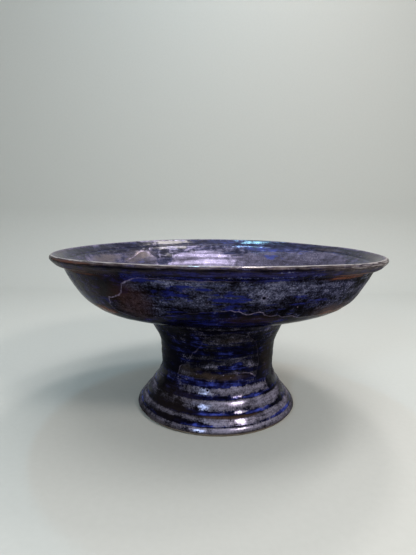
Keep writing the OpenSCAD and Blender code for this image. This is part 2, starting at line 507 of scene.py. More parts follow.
@dataclass
class Coat:
    """One coat of glaze: a closed skin over part of the clay, with its runs and pits raised in the mesh.

    Attributes:
        name: Name of the piece.
        clay: Path of the clay under it.
        normals: Normals along that path, on the outside.
        thick: Thickness of the glaze.
        columns: Columns round the axis.
        coarse: Longest step between rows of the skin.
        layout: What lies where on it.
        seed: First seed of its unevenness.
        turn: Largest turn from one row of the skin to the next, in radians.
        back_coarse: Longest step between rows of its back.
        back_turn: Largest turn from one row of the back to the next, in radians.
        wobbly: Waves by which outlines wander round the piece and along the coat: height, length, and seed after
            the first.
        ragged: Waves by which daubs do.
        dimpled: Waves of the surface.
        narrow: Half the height under which a daub wanders less along the coat.
        fading: Where a daub starts to fade and where it ends, as shares of the way out to its edge.
        out_of_round: How far a pit's outline follows wobbly.
        bead_h: Height of the bead at the edge of a run.
        bead: How far inside the edge the bead lies, and half its width.
        run_h: Height of a run over the first glaze.
        run_rise: Between which distances inside the edge the run rises.
        crater_h: Height of a crater's rim.
        crater: Place and half the width of that rim, in radii.
        crater_d: Depth of a crater.
        crater_rise: Between which distances from its middle the crater rises, in radii.
        soft: Length over which the relief dies out at the coat's edges.
        middle_r: Radius within which it dies out where a coat is whole over the axis.
    """

    name: str
    clay: Path
    normals: Path
    thick: float
    columns: int
    coarse: float
    layout: Layout
    seed: int
    turn: float = 0.16
    back_coarse: float = 4.5
    back_turn: float = 0.30
    wobbly: Sequence[Sequence[Wave]] = (((0.35, 5, 0), (0.14, 1.9, 2)), ((0.35, 5, 1), (0.14, 1.9, 3)))
    ragged: Sequence[Sequence[Wave]] = (((1.6, 9, 5), (0.6, 3, 6)), ((1.2, 9, 7), (0.5, 3, 8)))
    dimpled: Sequence[Wave] = ((0.10, 26, 9), (0.035, 6, 10))
    narrow: float = 4.0
    fading: tuple[float, float] = (0.45, 1.25)
    out_of_round: float = 0.6
    bead_h: float = 0.16
    bead: tuple[float, float] = (0.35, 0.75)
    run_h: float = 0.08
    run_rise: tuple[float, float] = (-0.6, 1.2)
    crater_h: float = 0.10
    crater: tuple[float, float] = (1.25, 0.35)
    crater_d: float = 0.22
    crater_rise: tuple[float, float] = (0.35, 1.1)
    soft: float = 0.6
    middle_r: float = 6.0

    def rows(self, coarse: float, turn: float, beside: int = 3) -> np.ndarray:
        """Sets out the rows of a surface, close where it bends.

        Args:
            coarse: Longest step between two rows, in millimetres.
            turn: Largest turn from one row to the next, in radians.
            beside: Steps on each side over which the need for rows is averaged.

        Returns:
            Where the rows lie along the path.
        """
        s = lengths(self.clay)
        even = np.linspace(0, s[-1], 2 * len(s))
        need = np.abs(np.diff(headings(resample(self.clay, even)))) / turn + np.diff(even) / coarse
        window = 2 * beside + 1
        need = np.convolve(np.pad(need, beside, mode="edge"), np.ones(window) / window, "valid")
        total = np.concatenate([[0.0], np.cumsum(need)])
        return np.interp(np.linspace(0, total[-1], math.ceil(total[-1]) + 1), total, even)

    def uneven(self, at: np.ndarray, *waves: Wave) -> np.ndarray:
        """The sum of some waves, each given by its height, its length and its seed after the coat's first."""
        return sum(height * Waves(size, self.seed + seed).at(at) for height, size, seed in waves)

    def depth(self, grid: Grid, wobble: Sequence[np.ndarray]) -> np.ndarray:
        """Works out how far each point lies inside a run.

        Args:
            grid: The points.
            wobble: How far the runs' edges wander, round the piece and along the coat.

        Returns:
            The distance to the nearest edge of a run, in millimetres: positive inside.
        """
        y0, scale = grid.path + wobble[1], grid.scale
        best = np.full(y0.shape, FAR_FROM_RUNS)
        inside = np.zeros(y0.shape, bool)
        for run in self.layout.runs:
            loop = np.array(run, float)
            mid = loop[:, 0].mean()
            here = grid.beside(mid) + mid + wobble[0] / scale
            crossed = np.zeros(y0.shape, bool)
            for (ax, ay), (bx, by) in zip(loop, np.roll(loop, -1, axis=0)):
                dx, dy = (bx - ax) * scale, by - ay
                px, py = (here - ax) * scale, y0 - ay
                t = np.clip((px * dx + py * dy) / np.maximum(dx * dx + dy * dy, 1e-9), 0, 1)
                best = np.minimum(best, np.hypot(px - t * dx, py - t * dy))
                if ay != by:
                    crossed ^= ((ay > y0) != (by > y0)) & (here < (bx - ax) * (y0 - ay) / (by - ay) + ax)
            inside |= crossed
        return np.where(inside, best, -best)

    def daubed(self, grid: Grid) -> Fields:
        """Works out the strength of each tone.

        Args:
            grid: The points.

        Returns:
            The strengths by the tones' names.
        """
        wide, tall = (self.uneven(grid.at, *waves) for waves in self.ragged)
        made: Fields = {}
        for tone in Tone:
            total = np.zeros(grid.path.shape)
            for d in self.layout.tones.get(tone, ()):
                loose = min(1.0, d.high / self.narrow) ** 2
                x = (grid.beside(d.bearing) + wide / grid.scale) / d.wide
                y = (grid.path - d.path + tall * loose) / d.high
                total = np.maximum(total, d.strength * (1 - ramp(np.hypot(x, y), *self.fading)))
            made[tone.value] = total
        return made

    def away(self, grid: Grid, wobble: Sequence[np.ndarray], places: Sequence[Pit]) -> np.ndarray:
        """Works out how far each point lies from the nearest pit.

        Args:
            grid: The points.
            wobble: How far outlines wander, round the piece and along the coat.
            places: The pits.

        Returns:
            The distance in radii of that pit.
        """
        nearest = np.full(grid.path.shape, FAR)
        for hole in places:
            x = grid.beside(hole.bearing) * grid.scale + wobble[0] * self.out_of_round
            y = grid.path - hole.path + wobble[1] * self.out_of_round
            nearest = np.minimum(nearest, np.hypot(x, y) / hole.radius)
        return nearest

    def edges(self, skin: Path, over: float = 1.3, sharp: float = 0.12, samples: int = 1600) -> np.ndarray:
        """Works out how sharply the skin stands out at each row.

        Args:
            skin: Points of its rows.
            over: The length that the bend is averaged over, in millimetres.
            sharp: The bend that counts as a full edge, in 1/mm.
            samples: Number of even steps that the bend is measured at.

        Returns:
            The sharpness, from -1 in a hollow to 1 on a crest.
        """
        s = lengths(skin)
        even = np.linspace(0, s[-1], samples)
        return np.clip(np.interp(s, even, bending(resample(skin, even), over)) / sharp, -1, 1)

    def painted(self, skin: Path, s: np.ndarray) -> tuple[np.ndarray, Fields]:
        """Works out the glaze's relief and its tones.

        Args:
            skin: Points of the skin's rows.
            s: Their distances along the path.

        Returns:
            The relief at each column and row, in millimetres, and the fields that the shader reads.
        """
        grid = Grid.of(skin, s, self.columns)
        wobble = [self.uneven(grid.at, *waves) for waves in self.wobbly]
        run = self.depth(grid, wobble)
        pit, spark = (self.away(grid, wobble, places) for places in (self.layout.pits, self.layout.sparks))
        relief = self.uneven(grid.at, *self.dimpled)
        relief += self.bead_h * bump(run, *self.bead) + self.run_h * ramp(run, *self.run_rise)
        relief += self.crater_h * bump(pit, *self.crater) - self.crater_d * (1 - ramp(pit, *self.crater_rise))
        return relief, {"run": run, "along": grid.path, **self.daubed(grid), "pit": pit, "spark": spark,
                        "edge": np.broadcast_to(self.edges(skin), run.shape)}

    def piece(self, hand: Handmade) -> bpy.types.Object:
        """Builds the coat.

        Args:
            hand: How the fired piece departs from the turned form.

        Returns:
            The coat's object.
        """
        s = self.rows(self.coarse, self.turn)
        path = lengths(self.clay)
        normal = np.stack([np.interp(s, path, self.normals[:, k]) for k in (0, 1)], 1)
        normal /= np.linalg.norm(normal, axis=1)[:, None]
        skin = resample(self.clay, s) + self.thick * normal
        under = resample(self.clay, self.rows(self.back_coarse, self.back_turn)[::-1])
        outline = np.vstack([skin, under])
        relief, kept = self.painted(skin, s)
        closed = self.clay[-1, 0] < NEAR_AXIS
        end = ramp(skin[:, 0], 0.0, self.middle_r) if closed else 1 - ramp(s, s[-1] - self.soft, s[-1])
        shift = np.zeros((self.columns, len(outline), 2))
        shift[:, :len(skin)] = (relief * (ramp(s, 0.0, self.soft) * end))[..., None] * normal
        grown = {key: np.full(shift.shape[:2], FAR if key in ("pit", "spark") else 0.0) for key in kept}
        for key, values in kept.items():
            grown[key][:, :len(skin)] = values
        flat = [len(skin) - 1, len(outline) - 1]
        if closed:
            outline[len(skin) - 1, 0] = outline[len(skin), 0] = 0.0
            outline = np.roll(outline, -len(skin), axis=0)
            shift = np.roll(shift, -len(skin), axis=1)
            grown = {key: np.roll(values, -len(skin), axis=1) for key, values in grown.items()}
            flat = [len(under) - 2]
        return Turned(self.name, outline, self.columns, hand, shift, grown, flat).piece()


# Shaders

class Join(Enum):
    """How two values are joined; the value is Blender's name for it."""

    MIX = "MIX"
    ADD = "ADD"
    SUBTRACT = "SUBTRACT"
    MULTIPLY = "MULTIPLY"
    DIVIDE = "DIVIDE"


class Value:
    """One output of a shader node, with the sums that nodes can do on it."""

    def __init__(self, shader: "Shader", socket: bpy.types.NodeSocket) -> None:
        """Wraps a socket of a shader's tree."""
        self.shader, self.socket = shader, socket

    def _joined(self, join: Join, first: Any, second: Any) -> "Value":
        """Joins two values: by Mix for colours, by Vector Math for vectors, and by Math for numbers.

        Args:
            join: How to join them.
            first: The first, a Value or plain.
            second: The second, a Value or plain.

        Returns:
            The result.
        """
        kinds = {v.socket.type for v in (first, second) if isinstance(v, Value)}
        if "RGBA" in kinds:
            return self.shader.mix(1.0, first, second, join)
        if "VECTOR" in kinds:
            first, second = ((v, v, v) if isinstance(v, (int, float)) else v for v in (first, second))
            return self.shader.node("ShaderNodeVectorMath", {"operation": join.value}, {0: first, 1: second})
        return self.shader.node("ShaderNodeMath", {"operation": join.value}, {0: first, 1: second})

    def __add__(self, other: Any) -> "Value":
        """The sum."""
        return self._joined(Join.ADD, self, other)

    __radd__ = __add__

    def __mul__(self, other: Any) -> "Value":
        """The product."""
        return self._joined(Join.MULTIPLY, self, other)

    __rmul__ = __mul__

    def __sub__(self, other: Any) -> "Value":
        """The difference."""
        return self._joined(Join.SUBTRACT, self, other)

    def __rsub__(self, other: Any) -> "Value":
        """The difference from something else."""
        return self._joined(Join.SUBTRACT, other, self)

    def __truediv__(self, other: Any) -> "Value":
        """The quotient."""
        return self._joined(Join.DIVIDE, self, other)

    def clamped(self) -> "Value":
        """The value, held between 0 and 1."""
        return self.shader.node("ShaderNodeClamp", {}, {0: self})

    def step(self, low: float, high: float) -> "Value":
        """Adds a smooth step.

        Args:
            low: Where it is 0. It may be the larger of the two.
            high: Where it is 1.

        Returns:
            The step.
        """
        if low > high:
            return 1.0 - self.step(high, low)
        return self.shader.node("ShaderNodeMapRange", {"interpolation_type": "SMOOTHSTEP"},
                                {"Value": self, "From Min": low, "From Max": high})

    def near(self, place: float, width: float) -> "Value":
        """A soft peak of 1 where the value is at a place, falling to 0 at a width from it."""
        away = self.shader.node("ShaderNodeMath", {"operation": "ABSOLUTE"}, {0: self - place})
        return away.step(width, 0.0)

    def ramp(self, places: Sequence[float], colours: Sequence[Colour]) -> "Value":
        """A colour that follows the value through some colours, each at its place."""
        return self.shader.node("ShaderNodeValToRGB", {"stops": list(zip(places, colours))}, {0: self})


class Shader:
    """The nodes of a material or a world under construction."""

    def __init__(self, holder: bpy.types.Material | bpy.types.World) -> None:
        """Empties the holder's tree.

        Args:
            holder: The material or world.
        """
        self.holder = holder
        holder.use_nodes = True
        self.tree = holder.node_tree
        self.tree.nodes.clear()

    def node(self, kind: str, settings: dict[str, Any], sockets: dict[str | int, Any], out: str | int = 0) -> Value:
        """Adds a node.

        Args:
            kind: Its type.
            settings: Its own settings, set first. "stops" are a colour ramp's.
            sockets: Values or links of its inputs.
            out: The output to return.

        Returns:
            That output.
        """
        made = self.tree.nodes.new(kind)
        for key, value in settings.items():
            if key == "stops":
                stops = made.color_ramp.elements
                while len(stops) < len(value):
                    stops.new(0.5)
                for stop, (place, colour) in zip(stops, value):
                    stop.position, stop.color = place, (*colour, 1.0)
            else:
                setattr(made, key, value)
        for key, value in sockets.items():
            held = made.inputs[key]
            if isinstance(value, Value):
                self.tree.links.new(value.socket, held)
            else:
                held.default_value = (*value, 1.0) if held.type == "RGBA" and len(value) == 3 else value
        return Value(self, made.outputs[out])

    def mix(self, factor: Any, first: Any, second: Any, join: Join = Join.MIX) -> Value:
        """Joins two colours, through the node's colour sockets."""
        return self.node("ShaderNodeMix", {"data_type": "RGBA", "blend_type": join.value, "clamp_factor": True},
                         {0: factor, 6: first, 7: second}, 2)

    def blend(self, factor: Any, first: Any, second: Any) -> Value:
        """Mixes two numbers, through the node's number sockets."""
        return self.node("ShaderNodeMix", {"data_type": "FLOAT", "clamp_factor": True},
                         {0: factor, 2: first, 3: second})

    def field(self, name: str) -> Value:
        """A field that the mesh holds."""
        return self.node("ShaderNodeAttribute", {"attribute_name": name}, {}, "Fac")

    def place(self) -> Value:
        """The place on the piece, in millimetres."""
        return self.node("ShaderNodeTexCoord", {}, {}, "Object") * (1 / MM)

    def noise(self, at: Value, size: float, detail: float = 3.0, rough: float = 0.55) -> Value:
        """Noise of a size in millimetres, from 0 to 1."""
        return self.node("ShaderNodeTexNoise", {"normalize": True},
                         {"Vector": at, "Scale": 1.0 / size, "Detail": detail, "Roughness": rough})

    def bump(self, height: Value, strength: float) -> Value:
        """Normals of a fine relief whose height is in metres."""
        return self.node("ShaderNodeBump", {}, {"Strength": strength, "Distance": 1.0, "Height": height})

    def plain(self, sockets: dict[str | int, Any]) -> Value:
        """A plain surface, with the values or links of its sockets."""
        return self.node("ShaderNodeBsdfPrincipled", {}, sockets)

    def finish(self, surface: Value) -> Any:
        """Ends the tree.

        Args:
            surface: What the material or world shows.

        Returns:
            The material or world.
        """
        sky = isinstance(self.holder, bpy.types.World)
        end = self.tree.nodes.new("ShaderNodeOutputWorld" if sky else "ShaderNodeOutputMaterial")
        self.tree.links.new(surface.socket, end.inputs["Surface"])
        return self.holder


@dataclass(frozen=True)
class Marks:
    """What the mesh's fields say at each point of a glaze, by their names.

    Attributes:
        run: How far it lies inside a run, in millimetres.
        along: Its distance along the coat, in millimetres.
        edge: How sharply the surface stands out there.
        pit: How far it lies from a pit, in radii.
        glint: How far it lies from a painted glint, in radii.
        blue: Strength of Tone.BLUE. Each of the rest is the strength of the tone of its name.
    """

    run: Value
    along: Value
    edge: Value
    pit: Value
    spark: Value
    blue: Value
    pale: Value
    dark: Value
    rust: Value
    clear: Value
    seam: Value
    worn: Value
    dry: Value


@dataclass(frozen=True)
class Mottle:
    """The noises that break up a glaze, each about 0 but for the last.

    Attributes:
        streaks: Streaks along the turning.
        bands: Wider bands along the turning.
        lines: Fine lines along the turning.
        clouds: Soft clouds.
        drift: Slow change over the whole piece.
        grains: Specks.
        tone: Streaks and clouds together.
        broken: Where a thin line shows, from 0 to 1.
    """

    streaks: Value
    bands: Value
    lines: Value
    clouds: Value
    drift: Value
    grains: Value
    tone: Value
    broken: Value


@dataclass(frozen=True)
class Glaze:
    """The two glazes of one coat: gloss cobalt, and a metallic lustre that pools and speckles over it.

    The numbers in its methods weigh the noises and the marks against each other, and were set one by one.

    Attributes:
        name: Name of the material.
        cobalt: Colours of the first glaze, from its darkest to its most blue.
        lustre: Colours of the second, from its darkest to its palest.
        rust: Colours of the lustre where it breaks to bronze, and where that is strongest; low on the outside they
            paint a warm reflection.
        worn: Colours where the glaze thins over an edge, and where it is thinnest, which paints a highlight on the
            lip's crest.
        line: Colour of the thin line at the edge of a run, and of pit rims and painted glints.
        speckle: Share of the lustre's grains outside the runs.
        cover: How much of a run the lustre covers.
        streak: How strongly the tones follow the turning.
        shine: The glazes' specular level.
        tint: Tint of what both glazes mirror, which for the lustre is at its edges.
        dull: Share of the surface that mirrors nothing.
        base: How blue the first glaze is on the whole.
        lively: How strong the mottling is.
        crests: How much the glazes change over crests and hollows.
    """

    name: str
    # The default colours are the outside's, darker than the others: painted shade on a wall that faces down
    cobalt: tuple[Colour, ...] = ((0.0010, 0.0010, 0.004), (0.0020, 0.0022, 0.018), (0.0048, 0.0062, 0.062),
                                  (0.013, 0.017, 0.115))
    lustre: tuple[Colour, ...] = ((0.002, 0.0018, 0.0035), (0.0095, 0.0090, 0.017), (0.046, 0.048, 0.088),
                                  (0.16, 0.16, 0.25))
    rust: tuple[Colour, Colour] = ((0.036, 0.015, 0.010), (0.18, 0.072, 0.045))
    worn: tuple[Colour, Colour] = ((0.115, 0.090, 0.095), (0.50, 0.46, 0.47))
    line: Colour = (0.36, 0.29, 0.44)
    speckle: float = 0.35
    cover: float = 0.5
    streak: float = 0.5
    shine: float = 0.05
    tint: Colour = (0.12, 0.10, 0.075)
    dull: float = 0.35
    base: float = 0.36
    lively: float = 1.0
    crests: float = 0.25

    def mottle(self, sh: Shader, along: Value) -> Mottle:
        """Adds the noises that break up the glazes.

        Args:
            sh: The material's nodes.
            along: The distance along the coat.

        Returns:
            The noises.
        """
        at = sh.place()
        east, north = (sh.node("ShaderNodeSeparateXYZ", {}, {0: at}, axis) for axis in (0, 1))

        def turned(across: float, high: float, detail: float, rough: float) -> Value:
            """Noise that is drawn out along the turning, with its two sizes in millimetres."""
            drawn = sh.node("ShaderNodeCombineXYZ", {}, {0: east / across, 1: north / across, 2: along / high})
            return sh.noise(drawn, 1.0, detail, rough) - 0.5

        def even(size: float, detail: float, rough: float) -> Value:
            """Noise that is the same every way, with its size in millimetres."""
            return (sh.noise(at, size, detail, rough) - 0.5) * self.lively

        streaks = turned(across=11.0, high=1.5, detail=4.0, rough=0.62) * self.lively
        clouds = even(size=5.5, detail=5.0, rough=0.62)
        return Mottle(
            streaks=streaks,
            bands=turned(across=19.0, high=2.6, detail=3.0, rough=0.5) * self.lively,
            lines=turned(across=9.0, high=0.55, detail=3.0, rough=0.6),
            clouds=clouds,
            drift=even(size=17.0, detail=2.0, rough=0.5),
            grains=even(size=0.95, detail=3.0, rough=0.6),
            tone=streaks * self.streak * 2.0 + clouds * (1.0 - self.streak) * 2.0,
            broken=sh.noise(at, size=3.0, detail=2.0).step(0.36, 0.58))

    def first(self, m: Marks, n: Mottle) -> Value:
        """The colour of the first glaze."""
        depth = (n.tone * 2.4 + n.bands * 1.6 + n.drift * 1.2 + n.grains * 0.7 + m.blue * 0.36 - m.dark * 0.5
                 - m.edge * self.crests + self.base)
        return depth.clamped().ramp((0.0, 0.36, 0.68, 1.0), self.cobalt)

    def second(self, m: Marks, n: Mottle) -> Value:
        """The colour of the second glaze."""
        body = (n.clouds * 1.9 + n.grains * 1.7 + n.streaks * 1.2 + n.drift * 0.9 + m.edge * self.crests
                + m.pale * 0.34 - m.dark * 0.42 + 0.38)
        return body.clamped().ramp((0.0, 0.30, 0.62, 1.0), self.lustre)

    def covered(self, sh: Shader, m: Marks, n: Mottle) -> Value:
        """Works out where the second glaze covers the first.

        Args:
            sh: The material's nodes.
            m: What the mesh's fields say.
            n: The noises.

        Returns:
            How far it covers, from 0 to 1: whole in the runs but for some gaps, and in flecks outside them.
        """
        gaps = (n.bands * 2.4 + n.streaks * 2.2 + n.clouds * 1.2 + m.blue * 0.48 - m.pale * 0.3 - m.rust * 0.5
                + m.clear * 0.9 - m.edge * self.crests - self.cover + 0.35).step(0.0, 0.34)
        flecks = (n.clouds * 2.4 + n.grains * 2.0 + n.streaks * 1.0 + m.edge * self.crests * 1.5 + m.pale * 0.55
                  - m.dark * 0.3 - m.blue * 0.35 - m.clear * 0.8 + self.speckle - 0.5).step(0.0, 0.40)
        held = m.run.step(-0.15, 0.30) * (1.0 - gaps)
        return sh.blend(held, flecks * 0.85, 1.0).clamped()

    def material(self) -> bpy.types.Material:
        """Builds the glaze's material.

        Returns:
            The material.
        """
        sh = Shader(bpy.data.materials.new(self.name))
        m = Marks(*(sh.field(mark.name) for mark in fields(Marks)))
        n = self.mottle(sh, m.along)
        lustre = self.covered(sh, m, n)
        # Bronze, and low on the outside a painted warm reflection from below
        rust_and_reflection_share = (m.rust * (1.0 + n.tone * 2.0 + n.grains * 2.0)).clamped()
        # Thin glaze over edges, and a painted highlight along the lip's crest
        thin = (m.worn * (0.95 + n.lines * 4.5 + n.grains * 2.0)).clamped()
        edge = (m.run.near(0.05, 0.60) * (0.06 + m.seam * 0.60) * (0.35 + 0.65 * n.broken)).clamped()
        colour = sh.mix(lustre, self.first(m, n), self.second(m, n))
        for share, over in (
                (rust_and_reflection_share * 0.85, m.rust.step(0.70, 1.15).ramp((0.0, 1.0), self.rust)),
                (thin * 0.85, (m.worn + n.lines * 1.2).step(0.7, 1.25).ramp((0.0, 1.0), self.worn)),
                (edge, self.line),
                (m.pit.near(1.35, 0.40) * 0.18, self.line),
                (m.pit.step(1.05, 0.7), self.cobalt[0]),
                # Painted glints
                (m.spark.step(1.0, 0.5) * 0.75, self.line)):
            colour = sh.mix(share, colour, over)
        metal = (sh.blend(thin, sh.blend(rust_and_reflection_share, lustre * 0.80, 0.50), 0.5) * (1.0 - edge * 0.7)).clamped()
        rough = 0.12 + 0.08 * lustre + 0.12 * (n.grains + 0.5) * lustre
        relief = sh.bump(n.grains * 0.000016 + n.clouds * 0.00004, strength=0.7)
        gloss = sh.plain({"Base Color": colour, "Metallic": metal, "Roughness": rough, "Normal": relief, "IOR": 1.5,
                          "Specular IOR Level": self.shine, "Specular Tint": self.tint})
        dull = sh.plain({"Base Color": colour, "Roughness": 0.6, "Normal": relief, "Specular IOR Level": 0.0})
        return sh.finish(sh.node("ShaderNodeMixShader", {}, {0: (m.dry + self.dull).clamped(), 1: gloss, 2: dull}))


# The outside's colours are darker than those of the pedestal and the inside: painted shade on a wall that faces down
SHADED_WALL_GLAZE = Glaze("glaze_outside", speckle=0.25, lively=0.85, crests=0.12)
FOOT_GLAZE = Glaze(
    "glaze_pedestal",
    cobalt=((0.0014, 0.0013, 0.005), (0.0042, 0.0046, 0.026), (0.018, 0.023, 0.125), (0.045, 0.065, 0.36)),
    lustre=((0.005, 0.0045, 0.007), (0.030, 0.028, 0.042), (0.148, 0.134, 0.188), (0.36, 0.33, 0.45)),
    rust=((0.036, 0.025, 0.018), (0.13, 0.07, 0.05)), speckle=0.70, lively=0.7, crests=0.22, base=0.25,
    shine=0.14, tint=(0.12, 0.105, 0.09))
INNER_GLAZE = Glaze(
    "glaze_inside",
    cobalt=((0.014, 0.014, 0.030), (0.030, 0.032, 0.070), (0.044, 0.050, 0.140), (0.050, 0.065, 0.26)),
    lustre=((0.058, 0.052, 0.080), (0.11, 0.10, 0.155), (0.19, 0.17, 0.27), (0.38, 0.34, 0.47)),
    rust=((0.11, 0.085, 0.075), (0.25, 0.185, 0.15)), worn=((0.15, 0.13, 0.145), (0.40, 0.37, 0.38)),
    speckle=0.60, cover=0.6, shine=0.3, dull=0.15, lively=0.65, crests=0.1, tint=(0.45, 0.43, 0.42))


@dataclass(frozen=True)
class Stoneware:
    """Bare fired clay or slip: speckled and matt.

    Attributes:
        name: Name of the material.
        tones: Its colours, from dark to pale.
    """

    name: str = "stoneware"
    tones: tuple[Colour, ...] = ((0.12, 0.085, 0.06), (0.26, 0.20, 0.15), (0.40, 0.33, 0.26))

    def material(self) -> bpy.types.Material:
        """Builds the clay's material.

        Returns:
            The material.
        """
        sh = Shader(bpy.data.materials.new(self.name))
        at = sh.place()
        mottle = sh.noise(at, size=6.0, detail=5.0, rough=0.6)
        grog = sh.noise(at, size=0.5, detail=2.0, rough=0.7)
        colour = (mottle * 0.6 + grog * 0.4).ramp((0.35, 0.52, 0.7), self.tones)
        return sh.finish(sh.plain({"Base Color": colour, "Roughness": 0.75 + grog * 0.2,
                                   "Normal": sh.bump(grog * 0.00012, strength=0.5)}))


CLAY = Stoneware()
SLIP = Stoneware("slip", ((0.20, 0.16, 0.12), (0.34, 0.28, 0.22), (0.46, 0.40, 0.33)))


# The bowl and its pedestal

# Wall of the bowl: shares of the way from the seat's edge to the neck, outward and up
WALL_SHARES = ((0.165, 0.032), (0.276, 0.046), (0.385, 0.067), (0.495, 0.110), (0.604, 0.181), (0.688, 0.270),
               (0.759, 0.362), (0.8165, 0.4725), (0.8625, 0.588), (0.916, 0.730), (0.963, 0.870))
# Foot: share of the way from the stem's radius out to the foot's, and share of the pedestal's height
FOOT_SHARES = ((0.93, 0.0), (1.0, 0.029), (0.95, 0.059), (0.70, 0.118), (0.49, 0.177), (0.31, 0.236), (0.157, 0.295),
               (0.05, 0.353), (0.0, 0.412))
# Stem and collar: share of the way from the stem's radius out to the collar's, and share of that height
STEM_SHARES = ((0.0, 0.471), (0.035, 0.530), (0.043, 0.589), (0.06, 0.648), (0.155, 0.707), (0.33, 0.766),
               (0.55, 0.831), (0.79, 0.893))
# Foot: distance along its glaze, and how far the glaze faces up there, in degrees
FOOT_TILTS = ((0, 8), (0.7, 22), (1.4, 28), (2.2, 31.5), (3.0, 37), (3.8, 48), (4.4, 55), (4.9, 43.5), (5.4, 31),
              (6.2, 33), (7.5, 35), (9, 38), (10, 46), (11, 55.5), (11.8, 55), (12.3, 45), (12.9, 36.5), (13.8, 32.5),
              (14.6, 29.6), (15.2, 27), (16, 26.6), (17, 27.5), (18.1, 29.8), (19.3, 33), (20.2, 36.5), (20.9, 41.5),
              (21.6, 48), (22.1, 47), (22.6, 40), (23.0, 36), (23.6, 33.5), (24.3, 31.5), (24.8, 28.5), (25.3, 26),
              (25.8, 25), (26.6, 24), (27.2, 22.6), (27.9, 21.4), (28.6, 20.8), (29.5, 20.2), (31, 16.2), (32.5, 12),
              (34, 8.9))
# Inside of the bowl: distance from the lip, and how far the wall leans there, in degrees
INNER_TILTS = ((2, 50), (4, 50), (6, 49.5), (8, 47), (10, 46.5), (12, 46.8), (13.2, 46.5), (14.3, 43.5), (15, 40),
               (15.8, 37.5), (17.4, 37), (18.3, 31), (19.4, 29), (20.4, 31), (21.4, 36.5), (24, 38.5), (27, 40),
               (29, 45), (32, 54.5), (36, 56.5))


class Landmark(Enum):
    """A place on the path that glaze can cover, from the floor up the outside and down the inside."""

    BARE = "top of the bare standing ring"
    JOINT = "top of the seam coil"
    CREST = "crest of the lip"
    MIDDLE = "middle of the floor"


